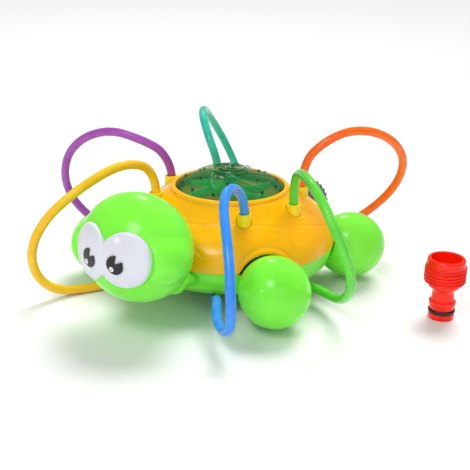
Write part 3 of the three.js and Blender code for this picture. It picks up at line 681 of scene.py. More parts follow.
def rod_mesh(p0, p1, r, seg=24):
    """closed cylinder between two points (mm)"""
    a, b = Vector(p0), Vector(p1)
    w = (b - a).normalized()
    u = w.orthogonal().normalized()
    v = w.cross(u)
    ring = lambda c: [tuple(c + (u * math.cos(t) + v * math.sin(t)) * r) for t in np.linspace(0, 2 * math.pi, seg, endpoint=False)]
    verts = ring(a) + ring(b) + [tuple(a), tuple(b)]
    faces = [(j, (j + 1) % seg, seg + (j + 1) % seg, seg + j) for j in range(seg)]
    faces += [(2 * seg, (j + 1) % seg, j) for j in range(seg)]
    faces += [(2 * seg + 1, seg + j, seg + (j + 1) % seg) for j in range(seg)]
    return np.array(verts), faces


def merge(parts):
    V, F, off = [], [], 0
    for v, f in parts:
        V.append(np.asarray(v, float))
        F += [tuple(i + off for i in q) for q in f]
        off += len(v)
    return np.vstack(V), F


def cut(ob, parts, operation="DIFFERENCE"):
    """one boolean of ob with closed parts (mm)"""
    v, f = merge(parts)
    me = cutter(W(v), f)
    tool = bpy.data.objects.new("cutter", me)
    bpy.context.scene.collection.objects.link(tool)
    mod = ob.modifiers.new("cut", "BOOLEAN")
    mod.operation = operation
    mod.solver = "EXACT"
    mod.use_self = True
    mod.object = tool
    dg = bpy.context.evaluated_depsgraph_get()
    new = bpy.data.meshes.new_from_object(ob.evaluated_get(dg))
    ob.modifiers.clear()
    old = ob.data
    ob.data = new
    bpy.data.meshes.remove(old)
    bpy.data.objects.remove(tool)
    bpy.data.meshes.remove(me)


# -------------------------------------------------------------------- belly
def build_belly():
    seg = 288
    outer = fillet([(0, 13), (59, 13), (64.6, 15.2), (69.2, 19.6), (71.4, 25.8), (72.3, 31.9)], [0, 4, 5, 5, 4, 0], 5)
    inner = [(69.9, 31.9), (69.1, 26.3), (67.1, 20.9), (63.4, 17.4), (58.5, 15.2), (0, 15.2)]
    prof = []
    for a, b in zip((outer + inner)[:-1], (outer + inner)[1:]):
        prof.append(a)
        L = math.dist(a, b)
        n = int(L // 6)
        for k in range(1, n + 1):
            prof.append((a[0] + (b[0] - a[0]) * k / (n + 1), a[1] + (b[1] - a[1]) * k / (n + 1)))
    prof.append((outer + inner)[-1])

    def fn(r, h, th):
        """two mould seams, at the belly's front quarters"""
        rr = np.full(th.size, float(r))
        if r > 60 and h < 31.5:
            for s in (math.radians(33.5), math.radians(-33.5), math.radians(146.5), math.radians(-146.5)):
                dd = np.angle(np.exp(1j * (th - s)))
                rr -= 0.32 * np.exp(-(dd * r / 0.9) ** 2)
        return rr

    v, f = revolve([p for p in prof if p[0] > 0], seg, (0, 0, 0), "z", False, fn)
    n = len([p for p in prof if p[0] > 0])
    # close the two floors with a fan
    v = np.vstack([v, [[0, 0, 13], [0, 0, 15.2]]])
    f += [(len(v) - 2, (j + 1) % seg, j) for j in range(seg)]
    base = (n - 1) * seg
    f += [(len(v) - 1, base + j, base + (j + 1) % seg) for j in range(seg)]
    ob = mesh("belly", W(v), f, M["lime"], "body", ("lower_body",))
    cuts = [rod_mesh((x, y, 11), (x, y, 15.8), 3.5, 28) for x in (54.5, -54.5) for y in (19.8, -19.8)]
    cuts += [rod_mesh((-60, 0, 27.4), (-80, 0, 27.4), 7.5, 36)]
    cuts += [rod_mesh((60, 0, 25.4), (80, 0, 25.4), 4.8, 30)]
    cut(ob, cuts[:4])
    cut(ob, cuts[4:])
    for p in ob.data.polygons:
        p.use_smooth = True
    sharp(ob, 35)
    return ob


build_belly()


def collar_rows(p0, direction, length, r_out, r_in, seg, c=0.5):
    """rounded open collar along a direction from p0"""
    w = Vector(direction).normalized()
    u = w.orthogonal().normalized()
    v = w.cross(u)
    prof = fillet([(r_in, 0), (r_out, 0), (r_out, length), (r_in, length)], [c, c, c, c], 3, True)
    rows = []
    for r, h in prof:
        c0 = Vector(p0) + w * h
        rows.append([tuple(c0 + (u * math.cos(t) + v * math.sin(t)) * r) for t in np.linspace(0, 2 * math.pi, seg, endpoint=False)])
    return grid(rows, True, True)


def build_parks():
    """park sockets moulded under the belly, with the web that carries each"""
    parts = []
    for name, pts in ROUTES.items():
        e, q = np.array(pts[-1]), np.array(pts[-3])
        b = math.atan2(q[1] - e[1], q[0] - e[0])
        w = np.array([math.cos(b), math.sin(b), 0])
        p0 = np.array([e[0], e[1], 9.4]) - w * 2
        parts.append(collar_rows(tuple(p0), tuple(w), 12.0, 5.0, 3.6, 40))
        parts.append(rod_mesh(tuple(p0 - w * 0.0), tuple(p0 + w * 1.2), 3.7, 32))
        # web up to the floor
        side_v = np.array([-w[1], w[0], 0])
        for s in (-1, 1):
            c0 = p0 + w * 6 + side_v * s * 3.6
            lo, hi = 10.4, 13.2
            box = []
            for z in (lo, hi):
                for a, c in ((-5.0, -0.7), (5.0, -0.7), (5.0, 0.7), (-5.0, 0.7)):
                    p = c0 + w * a + side_v * c
                    box.append((p[0], p[1], z))
            parts.append((np.array(box), [(0, 1, 2, 3), (7, 6, 5, 4), (0, 4, 5, 1), (1, 5, 6, 2), (2, 6, 7, 3), (3, 7, 4, 0)]))
    v, f = merge(parts)
    return mesh("park_sockets", W(v), f, M["lime"], "body", autosmooth=40)


build_parks()


# --------------------------------------------------------------------- feet
def env_radius(z):
    return np.interp(z, ENV[:, 1], ENV[:, 0])


def build_foot(key):
    x0, y0 = FOOT_POS[key]
    b = math.atan2(y0, x0)
    nu, nv = ((160, 110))
    rows = []
    for i in range(1, nv):
        a = math.pi * i / nv                # from the outward pole to the body
        row = []
        for j in range(nu):
            t = 2 * math.pi * j / nu
            l = FOOT_R * FOOT_LONG * math.cos(a)
            s = FOOT_R * math.sin(a) * math.cos(t)
            h = FOOT_R * math.sin(a) * math.sin(t)
            row.append((x0 + l * math.cos(b) - s * math.sin(b), y0 + l * math.sin(b) + s * math.cos(b), FOOT_Z + h))
        rows.append(row)
    P = np.array(rows)
    v, f = grid(list(P), True, False)
    pole_o = (x0 + FOOT_R * FOOT_LONG * math.cos(b), y0 + FOOT_R * FOOT_LONG * math.sin(b), FOOT_Z)
    pole_i = (x0 - FOOT_R * FOOT_LONG * math.cos(b), y0 - FOOT_R * FOOT_LONG * math.sin(b), FOOT_Z)
    v = np.vstack([v, [pole_o, pole_i]])
    n = len(v)
    f += [(n - 2, (j + 1) % nu, j) for j in range(nu)]
    base = (nv - 2) * nu
    f += [(n - 1, base + j, base + (j + 1) % nu) for j in range(nu)]
    # the ball stops short of the body
    r = np.hypot(v[:, 0], v[:, 1])
    re = env_radius(v[:, 2]) + 0.15
    push = r < re
    k = np.where(push, re / np.maximum(r, 1e-6), 1.0)
    v[:, 0] *= k
    v[:, 1] *= k
    parts = [(v, f)]
    # rubbed nub that it stands on
    prof = fillet([(0, 0), (3.2, 0), (3.2, 4.4), (0, 4.4)], [0, 0.7, 0, 0], 4)
    rows = [np.stack([x0 + rr * np.cos(np.linspace(0, 2 * math.pi, 40, endpoint=False)),
                      y0 + rr * np.sin(np.linspace(0, 2 * math.pi, 40, endpoint=False)), np.full(40, zz)], 1) for rr, zz in prof if rr > 0]
    nv_, nf_ = grid(rows, True, False)
    nv_ = np.vstack([nv_, [(x0, y0, 0)]])
    nf_ += [(len(nv_) - 1, (j + 1) % 40, j) for j in range(40)]
    parts.append((nv_, nf_))
    v, f = merge(parts)
    return mesh("paw_" + key, W(v), f, M["lime"], "body", ("foot_" + key,), autosmooth=50)


for _k in FOOT_POS:
    build_foot(_k)


# --------------------------------------------------------------------- neck
HC = np.array([97.9, 0.0, 53.1])
HR = np.array([30.1, 36.6, 33.3])
CHEEK_C, CHEEK_R = np.array([103.0, 20.2, 53.3]), np.array([20.55, 20.55, 17.0])
LOBE_Y, LOBE_Z, LOBE_RY, LOBE_RZ = 12.7, 2.6, 15.3, 16.7
BRIDGE_Z, BRIDGE_RY, BRIDGE_RZ = -3.1, 7.0, 5.5


def outline(ph, grow=0.0):
    """distance from the mask's middle to the edge of its two joined lobes"""
    c, s = np.cos(ph), np.sin(ph)
    out = np.zeros_like(ph)
    for y0, z0, ry, rz in ((LOBE_Y, 0.0, LOBE_RY, LOBE_RZ), (-LOBE_Y, 0.0, LOBE_RY, LOBE_RZ), (0.0, BRIDGE_Z - LOBE_Z, BRIDGE_RY, BRIDGE_RZ)):
        ry, rz = ry + grow, rz + grow
        A = (c / ry) ** 2 + (s / rz) ** 2
        B = -2 * (y0 * c / ry ** 2 + z0 * s / rz ** 2)
        C = (y0 / ry) ** 2 + (z0 / rz) ** 2 - 1
        disc = B * B - 4 * A * C
        out = np.maximum(out, np.where(disc > 0, (-B + np.sqrt(np.maximum(disc, 0))) / (2 * A), 0))
    return out


def head_x(y, z, grow=0.0, front=True):
    """x of the head's surface at (y, z), nan outside"""
    q = 1 - (y / (HR[1] + grow)) ** 2 - ((z - HC[2]) / (HR[2] + grow)) ** 2
    s = np.sqrt(np.maximum(q, 0))
    x = HC[0] + (HR[0] + grow) * s * (1 if front else -1)
    return np.where(q > 0, x, np.nan)


def build_neck():
    n = 200
    ph = np.linspace(0, 2 * math.pi, n, endpoint=False)

    def body_x(y, z):
        re = env_radius(z) + 0.35
        return np.sqrt(np.maximum(re ** 2 - y ** 2, 0))

    def front_x(y, z):
        x = head_x(y, z, 0.45, False)
        return np.where(np.isnan(x), 84.5, np.minimum(x, 84.5))

    def ring(k, which):
        y, z = 24.1 * k * np.cos(ph), 27.2 + 8.4 * k * np.sin(ph)
        z = np.minimum(z, 37.6)
        return y, z, (body_x(y, z) if which == "b" else front_x(y, z))

    rows = []
    for k in (0.02, 0.3, 0.6, 0.85, 0.93, 0.968, 0.988):
        y, z, x = ring(k, "b")
        rows.append(np.stack([x + (0.0 if k < 0.95 else (k - 0.95) * 8), y, z], 1))
    y, z, xb = ring(1.0, "b")
    _, _, xf = ring(1.0, "f")
    xb = xb + 0.9
    xf = np.maximum(xf - 0.9, xb + 0.2)
    for t in np.linspace(0, 1, 14):
        # the flange draws in a little on its way to the head
        w = 1 - 0.03 * math.sin(math.pi * t)
        rows.append(np.stack([xb * (1 - t) + xf * t, y * w, 27.2 + (z - 27.2) * w], 1))
    for k in (0.988, 0.968, 0.93, 0.85, 0.6, 0.3, 0.02):
        y, z, x = ring(k, "f")
        rows.append(np.stack([np.maximum(x - (0.0 if k < 0.95 else (k - 0.95) * 8), body_x(y, z) + 0.3), y, z], 1))
    v, f = grid(rows, True, False)
    m_ = len(rows)
    f.append(tuple(range(n))[::-1])
    f.append(tuple((m_ - 1) * n + j for j in range(n)))
    return mesh("neck_flange", W(v), f, M["lime"], "body", ("neck",), autosmooth=60)


build_neck()


# --------------------------------------------------------------------- head
def head_reach(d):
    """distance from the head's middle to its surface along unit directions: ball and two fuller front quarters"""
    t = 1 / np.sqrt(((d / HR) ** 2).sum(-1))
    for side in (1, -1):
        o = HC - CHEEK_C * np.array([1, side, 1])
        A = ((d / CHEEK_R) ** 2).sum(-1)
        B = 2 * (d * o / CHEEK_R ** 2).sum(-1)
        C = ((o / CHEEK_R) ** 2).sum() - 1
        disc = B * B - 4 * A * C
        t2 = np.where(disc > 0, (-B + np.sqrt(np.maximum(disc, 0))) / (2 * A), 0)
        h = np.maximum(2.2 - np.abs(t - t2), 0) / 2.2
        t = np.maximum(t, t2) + h * h * 0.55
    return t


def build_head():
    nu, nin, nout = ((480, 20, 190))
    ph = np.linspace(0, 2 * math.pi, nu, endpoint=False)
    rho = outline(ph, 0.3)
    rows = []
    # the seat of the eye piece, then one step up to the full surface
    for k in np.linspace(0.02, 1.0, nin):
        y, z = rho * k * np.cos(ph), LOBE_Z + rho * k * np.sin(ph)
        x = HR[0] * np.sqrt(np.maximum(1 - (y / HR[1]) ** 2 - (z / HR[2]) ** 2, 0))
        rows.append(np.stack([x, y, z], 1))
    edge = rows[-1] / np.linalg.norm(rows[-1], axis=1)[:, None]
    back = np.array([-1.0, 0.0, 0.0])
    ang = np.arccos(np.clip(edge @ back, -1, 1))[:, None]
    seat = np.linalg.norm(rows[-1], axis=1)
    for i, t in enumerate(np.r_[0.0, 0.0015, 0.004, 0.008, np.linspace(0.014, 0.992, nout)]):
        w0, w1 = np.sin((1 - t) * ang) / np.sin(ang), np.sin(t * ang) / np.sin(ang)
        d = edge * w0 + back * w1
        reach = head_reach(d)
        if i < 3:
            # softened lip of the step
            reach = seat + (reach - seat) * (0.55, 0.86, 0.97)[i]
        rows.append(d * reach[:, None])
    v, f = grid(rows, True, False)
    n = len(v)
    v = np.vstack([v, [(HR[0] * math.sqrt(1 - (LOBE_Z / HR[2]) ** 2), 0, LOBE_Z), (-HR[0], 0, 0)]]) + HC
    f += [(n, (j + 1) % nu, j) for j in range(nu)]
    base = (len(rows) - 1) * nu
    f += [(n + 1, base + j, base + (j + 1) % nu) for j in range(nu)]
    r = np.hypot(v[:, 0], v[:, 1])
    re = env_radius(v[:, 2]) + 0.15
    k = np.where(r < re, re / np.maximum(r, 1e-6), 1.0)
    v[:, 0] *= k
    v[:, 1] *= k
    return mesh("head", W(v), f, M["lime"], "body", ("head_shell",), autosmooth=50)


build_head()

MASK_IN, MASK_OUT = 0.3, 1.8


def on_head(y, z, off):
    a, b, c = HR + off
    q = 1 - (y / b) ** 2 - (z / c) ** 2
    return np.stack([HC[0] + a * np.sqrt(np.maximum(q, 0)), y, HC[2] + z], -1)


def build_mask():
    n = 360
    ph = np.linspace(0, 2 * math.pi, n, endpoint=False)
    rho = outline(ph)
    ks = np.r_[np.linspace(0.01, 0.9, 26), np.linspace(0.91, 1.0, 16)]
    rows = []
    for k in ks:
        y, z = rho * k * np.cos(ph), LOBE_Z + rho * k * np.sin(ph)
        edge = rho * (1 - k)                        # distance in from the edge
        t = np.clip(edge / 1.25, 0, 1)
        off = MASK_IN + (MASK_OUT - MASK_IN) * np.sqrt(np.maximum(1 - (1 - t) ** 2, 0))
        # shallow valley where the two lobes run together
        off = off - 0.5 * np.exp(-(y / 1.6) ** 2)
        rows.append(on_head(y, z, off[..., None][:, 0]) if False else np.stack(
            [HC[0] + (HR[0] + off) * np.sqrt(np.maximum(1 - (y / (HR[1] + off)) ** 2 - (z / (HR[2] + off)) ** 2, 0)), y, HC[2] + z], 1))
    for k in (0.99, 0.9, 0.6, 0.3, 0.01):
        y, z = rho * k * np.cos(ph), LOBE_Z + rho * k * np.sin(ph)
        rows.append(on_head(y, z, MASK_IN))
    v, f = grid(rows, True, False)
    m_ = len(rows)
    f.append(tuple(range(n))[::-1])
    f.append(tuple((m_ - 1) * n + j for j in range(n)))
    return mesh("mask", W(v), f, M["white"], "body", ("eye_mask",), autosmooth=60)


build_mask()


def plate(name, pts, off0, off1, mat, nodes=(), rings=8):
    """thin plate following the head, from a closed outline of (y, z) about the head's middle"""
    pts = np.array(pts, float)
    c = pts.mean(0)
    rows = []
    for k, o in [(1.0, off0), (1.0, off1 - 0.12), (0.985, off1)] + [(t, off1) for t in np.linspace(0.9, 0.06, rings)]:
        q = c + (pts - c) * k
        rows.append(on_head(q[:, 0], q[:, 1], o))
    v, f = grid(rows, True, False)
    m_, n = len(rows), len(pts)
    f.append(tuple((m_ - 1) * n + j for j in range(n)))
    f.append(tuple(range(n))[::-1])
    return mesh(name, W(v), f, mat, "body", nodes, autosmooth=40)


def ellipse(cy, cz, ry, rz, tilt, n=72):
    t = np.linspace(0, 2 * math.pi, n, endpoint=False)
    y, z = ry * np.cos(t), rz * np.sin(t)
    a = math.radians(tilt)
    return np.stack([cy + y * math.cos(a) - z * math.sin(a), cz + y * math.sin(a) + z * math.cos(a)], 1)


def wedge_pupil(cy, cz, ry, rz, tilt):
    """egg-shaped pupil with a pie slice missing towards its upper outer side, and a bite for the glint"""
    n = 96
    a = math.radians(tilt)
    apex = np.array([0.02 * ry, 0.10 * rz])
    lo, hi = math.radians(WEDGE[0]), math.radians(WEDGE[1])
    pts = []
    for t in np.linspace(hi, lo + 2 * math.pi, n):
        pts.append((ry * math.cos(t), rz * math.sin(t)))
    # straight sides of the slice, in to its point and out again
    end, start = np.array(pts[-1]), np.array(pts[0])
    for s in np.linspace(0, 1, 10)[1:]:
        pts.append(tuple(end * (1 - s) + apex * s))
    for s in np.linspace(0, 1, 10)[1:-1]:
        pts.append(tuple(apex * (1 - s) + start * s))
    P = np.array(pts)
    return np.stack([cy + P[:, 0] * math.cos(a) - P[:, 1] * math.sin(a), cz + P[:, 0] * math.sin(a) + P[:, 1] * math.cos(a)], 1)


def flat_plate(name, pts, off0, off1, mat, nodes=()):
    """thin plate of any outline on the mask: its two faces are filled, then bent to the head"""
    pts = np.array(pts, float)
    bm = bmesh.new()
    loops = []
    vs = [bm.verts.new((0, y, z)) for y, z in pts]
    for i in range(len(vs)):
        bm.edges.new((vs[i], vs[(i + 1) % len(vs)]))
    bmesh.ops.triangle_fill(bm, use_beauty=True, edges=bm.edges[:])
    bmesh.ops.subdivide_edges(bm, edges=[e for e in bm.edges if len(e.link_faces) == 2], cuts=3, use_grid_fill=True)
    bmesh.ops.triangulate(bm, faces=bm.faces)
    bm.verts.ensure_lookup_table()
    V = np.array([v.co[:] for v in bm.verts])
    F = [tuple(v.index for v in f.verts) for f in bm.faces]
    E = [(e.verts[0].index, e.verts[1].index) for e in bm.edges if len(e.link_faces) == 1]
    bm.free()
    n = len(V)
    top = on_head(V[:, 1], V[:, 2], off1)
    bot = on_head(V[:, 1], V[:, 2], off0)
    verts = np.vstack([top, bot])
    faces = list(F) + [tuple(i + n for i in f[::-1]) for f in F] + [(a, b, b + n, a + n) for a, b in E]
    return mesh(name, W(verts), faces, mat, "body", nodes, autosmooth=40)


PUPIL = (9.8, 1.0, 5.0, 5.7, 22)
WEDGE = (8, 58)
for _side, _nm in ((1, "left"), (-1, "right")):
    cy, cz = _side * PUPIL[0], PUPIL[1]
    flat_plate("iris_" + _nm, wedge_pupil(cy, cz, PUPIL[2], PUPIL[3], PUPIL[4]), 2.05, 2.65, M["black"], ("pupil_" + _nm,))
    a = math.radians(PUPIL[4])
    gx, gz = -0.50 * PUPIL[2], -0.30 * PUPIL[3]
    gy, gz = cy + gx * math.cos(a) - gz * math.sin(a), cz + gx * math.sin(a) + gz * math.cos(a)
    plate("glint_" + _nm, ellipse(gy, gz, 1.25, 1.55, PUPIL[4]), 2.6, 2.85, M["glint"])
    plate("glint_core_" + _nm, ellipse(gy + 0.15, gz - 0.1, 0.42, 0.55, PUPIL[4], 32), 2.8, 2.92, M["grey_dot"], rings=3)


# ------------------------------------------------------------------ sockets
for _n, _b in SOCKET_AT.items():
    x, y = 50.3 * math.cos(math.radians(_b)), 50.3 * math.sin(math.radians(_b))
    prof = fillet([(2.2, 47.4), (7, 47.4), (7, 49.2), (4.65, 49.2), (4.62, 64.4), (3.35, 64.4), (3.35, 53.5), (2.2, 53.5)],
                  [0.3, 0.4, 0.4, 0.5, 0.75, 0.4, 0.2, 0.2], 5, True)
    lathe("socket_" + _n, prof, M["yellow"], "body", ("outlet_socket_" + _n,), 56, (x, y, 0), angle=50)


# --------------------------------------------------------------- spray dome
def cap(r, z_rim, z_top, n):
    h = z_top - z_rim
    R = (r * r + h * h) / (2 * h)
    a1 = math.asin(r / R)
    return [(R * math.sin(a1 * i / n), z_top - R * (1 - math.cos(a1 * i / n))) for i in range(n + 1)]


HOLES = [(12, 32.5, 0.5), (6, 22.0, 0.5)]


def swirl(r, th, arms=6, turn=1.5, r0=9.0, width=2.1):
    """height of curved ribs that run out from the middle, one per arm"""
    out = np.zeros(np.broadcast(r, th).shape)
    k = np.clip((r - r0) / 26.0, 0, 1)
    for i in range(arms):
        a = 2 * math.pi * i / arms + turn * np.sqrt(np.clip((r - r0) / 26.0, 0, 1.2))
        d = np.angle(np.exp(1j * (th - a))) * r
        out = out + np.exp(-(d / width) ** 2) * smooth((r - r0) / 3.0) * smooth((33.5 - r) / 6.0)
    return out


def relief(r, th):
    """height of the dome's moulded pattern: six swept arms and one ridge that winds in to the middle"""
    r = np.asarray(r, float)
    rel = 1.3 * swirl(r, th)
    turns = (r - 2.0) / 5.2 - th / (2 * math.pi)
    u = np.abs((turns % 1.0) - 0.5) * 2
    rel = rel + 1.9 * smooth((14.2 - r) / 2.0) * smooth((r - 0.8) / 1.8) * smooth((u - 0.35) / 0.5)
    return np.minimum(rel, 2.0)


def build_dome():
    seg = 300
    o = cap(36.2, 68.0, 79.2, 110)
    i = cap(34.4, 66.8, 77.4, 80)
    th = np.linspace(0, 2 * math.pi, seg, endpoint=False)
    rows = []
    for r, z in o[1:]:
        rows.append(np.stack([r * np.cos(th), r * np.sin(th), z + relief(r, th) - 0.5 * smooth((34 - r) / 6.0)], 1))
    for z in (65.4, 63.4, 60.9):
        rows.append(np.stack([36.2 * np.cos(th), 36.2 * np.sin(th), np.full(seg, z)], 1))
    for z in (60.9, 63.4):
        rows.append(np.stack([34.4 * np.cos(th), 34.4 * np.sin(th), np.full(seg, z)], 1))
    for r, z in i[:0:-1]:
        rel = 0.5 * swirl(r, th, width=1.6)
        rows.append(np.stack([r * np.cos(th), r * np.sin(th), z + rel - 0.5], 1))
    v, f = grid(rows, True, False)
    m_ = len(rows)
    v = np.vstack([v, [[0, 0, 78.7], [0, 0, 76.9]]])
    f += [(len(v) - 2, (j + 1) % seg, j) for j in range(seg)]
    base = (m_ - 1) * seg
    f += [(len(v) - 1, base + j, base + (j + 1) % seg) for j in range(seg)]
    ob = mesh("dome_cap", W(v), f, M["dome"], "dome", ("spray_dome",))
    cuts = []
    for n, r, ph in HOLES:
        for k in range(n):
            a = (k + ph) / n * 2 * math.pi
            cuts.append(rod_mesh((r * math.cos(a), r * math.sin(a), 62.5), (r * math.cos(a), r * math.sin(a), 82), 0.8, 16))
    cut(ob, cuts)
    for p in ob.data.polygons:
        p.use_smooth = True
    sharp(ob, 50)
    # how high and how steep the pattern is at each point: painted highlight on the crests, painted shade and more
    # opacity on the steep flanks
    co = np.array([v.co[:] for v in ob.data.vertices]) * 1000.0
    x, y = co[:, 0] - OX, co[:, 1] - OY
    r, a = np.hypot(x, y), np.arctan2(y, x)
    hgt = relief(r, a)
    e = 0.35
    steep = np.hypot(relief(r + e, a) - relief(r - e, a), relief(r, a + e / np.maximum(r, 1)) - relief(r, a - e / np.maximum(r, 1))) / (2 * e)
    for nm, val in (("crest_painted_highlight", np.clip(hgt / 1.4, 0, 1)), ("flank_painted_shade_and_alpha", np.clip(steep / 1.1, 0, 1))):
        at = ob.data.attributes.new(nm, "FLOAT", "POINT")
        at.data.foreach_set("value", val.astype(np.float32))
    return ob


build_dome()


def build_nozzles():
    """rims of the small spray holes, standing a little proud of the dome and lining the holes; their dark green is
    painted shade for the holes' dark insides
    """
    R = (36.2 ** 2 + 11.2 ** 2) / (2 * 11.2)
    parts = []
    for n, r, ph in HOLES:
        for k in range(n):
            a = (k + ph) / n * 2 * math.pi
            z = 79.2 - (R - math.sqrt(R * R - r * r)) + float(relief(r, np.array(a))) - 0.5 * float(smooth((34 - r) / 6.0))
            tilt = r / R
            w = (math.sin(tilt) * math.cos(a), math.sin(tilt) * math.sin(a), math.cos(tilt))
            p0 = (r * math.cos(a) - w[0] * 1.3, r * math.sin(a) - w[1] * 1.3, z - w[2] * 1.3)
            parts.append(collar_rows(p0, w, 1.5, 1.05, 0.6, 18, 0.15))
    v, f = merge(parts)
    return mesh("nozzle_rims", W(v), f, M["nozzle"], "dome", autosmooth=45)


build_nozzles()


def build_rotor():
    """turning plate under the dome with its six curved vanes, hub and seal collar"""
    seg = 160
    prof = fillet([(3.7, 57.9), (9.6, 57.9), (9.6, 51), (11.2, 51), (11.2, 57.9), (35.4, 57.9), (35.4, 60.5), (5.6, 60.5), (5.6, 70.2), (3.7, 70.2)],
                  [0.3, 0, 0.3, 0.3, 0.4, 0.6, 0.6, 1.2, 0.6, 0.3], 4, True)
    dense = []
    for a, b in zip(prof, prof[1:] + prof[:1]):
        dense.append(a)
        L = math.dist(a, b)
        for k in range(1, int(L // 2.5) + 1):
            t = k / (int(L // 2.5) + 1)
            dense.append((a[0] + (b[0] - a[0]) * t, a[1] + (b[1] - a[1]) * t))
    parts = [revolve(dense, seg, (0, 0, 0), "z", True)]
    for i in range(6):
        a0 = math.radians(60 * i)
        n, m_ = 28, 5
        rows = []
        for k in range(n + 1):
            t = k / n
            r = 5 + 27 * t
            a = a0 + 0.62 * t
            d = np.array([math.cos(a), math.sin(a)])
            a2 = a0 + 0.62 * (t + 0.01)
            nxt = (r + 0.27) * np.array([math.cos(a2), math.sin(a2)])
            tan = nxt - r * d
            tan /= np.linalg.norm(tan)
            nn = np.array([-tan[1], tan[0]])
            hgt = 66.5 - 2.2 * t ** 3
            w = 0.6
            ring = []
            for u, z in ((-w, 60.2), (-w, hgt - 0.4), (-w * 0.6, hgt), (w * 0.6, hgt), (w, hgt - 0.4), (w, 60.2)):
                p = r * d + nn * u
                ring.append((p[0], p[1], z))
            rows.append(ring)
        v, f = grid(rows, True, False)
        f.append(tuple(range(6))[::-1])
        f.append(tuple(n * 6 + j for j in range(6)))
        parts.append((v, f))
    v, f = merge(parts)
    return mesh("rotor_plate", W(v), f, M["rotor"], "dome", ("spray_rotor",), autosmooth=40)


build_rotor()

lathe("spindle_nut", fillet([(2.3, 70.6), (4.6, 70.6), (4.6, 73.2), (3.4, 74.4), (0.01, 74.4), (0.01, 73.3), (2.3, 73.3)],
                            [0.2, 0.3, 0.4, 0.4, 0, 0, 0.2], 4, True), M["cap_green"], "body", ("spindle_cap",), 64)
lathe("bush", fillet([(2.35, 56.2), (3.4, 56.2), (3.4, 70), (2.35, 70)], [0.2] * 4, 3, True), M["natural"], "dome", ("rotor_bush",), 64)
lathe("spindle_rod", fillet([(0.01, 44.9), (2, 44.9), (2, 72.4), (1.6, 73), (0.01, 73)], [0, 0.3, 0.2, 0.2, 0], 3, True), M["steel"], "body", ("spindle",), 48)
lathe("seal_ring", fillet([(6.7, 56.3), (9, 56.3), (9, 57.6), (6.7, 57.6)], [0.4] * 4, 4, True), M["rubber"], "body", ("rotor_seal",), 72)


# --------------------------------------------------------------- hose union
def build_union():
    seg = 24 * 12
    X0, X1, R = -91.0, -114.0, 16.0

    def lug(th):
        u = (th * 24 / (2 * math.pi)) % 1.0
        return 1.1 * smooth(np.abs(u - 0.5) * 2 / 0.55 - 0.35)

    def fn(r, h, th):
        rr = np.full(th.size, float(r))
        if r > 14.0:
            end = min(abs(h - X0), abs(h - X1))
            rr = rr - 1.1 + (1.1 - lug(th)) * smooth(np.array(end / 1.2))
            rr = rr + 0.0
        elif 10.9 < r < 13.5 and X1 + 0.5 < h < X0 - 4:
            # female hose thread
            fade = smooth(np.array((h - X1 - 0.5) / 2.0)) * smooth(np.array((X0 - 4 - h) / 2.0))
            u = ((h - X1) / 2.2 - th / (2 * math.pi)) % 1.0
            rr = rr - 0.95 * fade * smooth(1 - np.abs(u - 0.5) * 2 / 0.8)
        return rr

    outer = [(13.4, X1), (15.0, X1), (15.7, X1 + 0.5), (16, X1 + 1.2)] + [(16, x) for x in np.linspace(X1 + 2, X0 - 2, 16)] + [
        (16, X0 - 1.2), (15.6, X0 - 0.5), (14.8, X0), (12.0, X0), (8.0, X0), (7.5, X0 - 0.4)]
    inner = [(7.5, X0 - 2.5), (12.6, X0 - 2.5)] + [(12.6, x) for x in np.arange(X0 - 3.0, X1 + 0.6, -0.32)] + [(12.6, X1 + 0.5), (13.0, X1)]
    v, f = revolve(outer + inner, seg, (0, 0, 27.4), "x", True, fn)
    return mesh("hose_nut", W(v), f, M["grey"], "hose_union", ("union_nut",), autosmooth=50)


build_union()

lathe("inlet_stub", fillet([(4.6, -26.3), (7, -26.3), (7, -74), (10.4, -76), (10.4, -90.7), (7, -90.7), (7, -93.8), (11.8, -93.8), (11.8, -96), (4.6, -96)],
                           [0.3, 0.3, 1.0, 1.0, 0.5, 0.3, 0.3, 0.4, 0.4, 0.3], 4, True), M["natural"], "body", ("inlet_pipe",), 80,
      (0, 0, 27.4), "x")
lathe("washer", fillet([(6.9, -96.3), (12.1, -96.3), (12.1, -98.3), (6.9, -98.3)], [0.5] * 4, 4, True), M["rubber"], "body", ("hose_washer",), 72,
      (0, 0, 27.4), "x")


# -------------------------------------------------------------- tap adapter
AX, AY = -28.0, 146.9


def build_adapter():
    seg = 360

    def fn(r, h, th):
        rr = np.full(th.size, float(r))
        if r > 11.5 and 24.8 < h < 36.8:
            fade = smooth(np.array((h - 24.8) / 1.0)) * smooth(np.array((36.8 - h) / 1.2))
            u = ((h - 24.7) / 2.2 - th / (2 * math.pi)) % 1.0
            rr = rr + 1.1 * fade * smooth(1.15 - np.abs(u - 0.5) * 2 / 0.72)
        return rr

    lower = [(5, 0), (8.2, 0), (8.2, 3.9), (7.1, 3.9), (7.1, 6.7), (7.9, 6.7), (7.9, 9.5), (8.5, 9.8), (8.5, 12), (7.2, 13), (6.9, 18.3), (8, 21),
             (10.1, 22.3), (10.2, 24.3), (12.1, 24.6)]
    lower = fillet(lower, [0.3, 0.7, 0.4, 0.2, 0.2, 0.4, 0.2, 0.4, 0.4, 0.6, 3, 2.5, 0.5, 0.3, 0.2], 5)
    thread = [(12.1, z) for z in np.arange(24.8, 36.9, 0.16)]
    upper = fillet([(12.1, 37.0), (11.95, 40.1), (11.2, 41.0), (9.6, 41.0), (9.6, 27.0), (5, 24.6), (5, 0)], [0, 0.8, 0.6, 0.5, 0.4, 0.4, 0], 5)
    v, f = revolve(lower + thread + upper[:-1], seg, (AX, AY, 0), "z", True, fn)
    return mesh("adapter", W(v), f, M["red"], "adapter", ("adapter_body",), autosmooth=48)


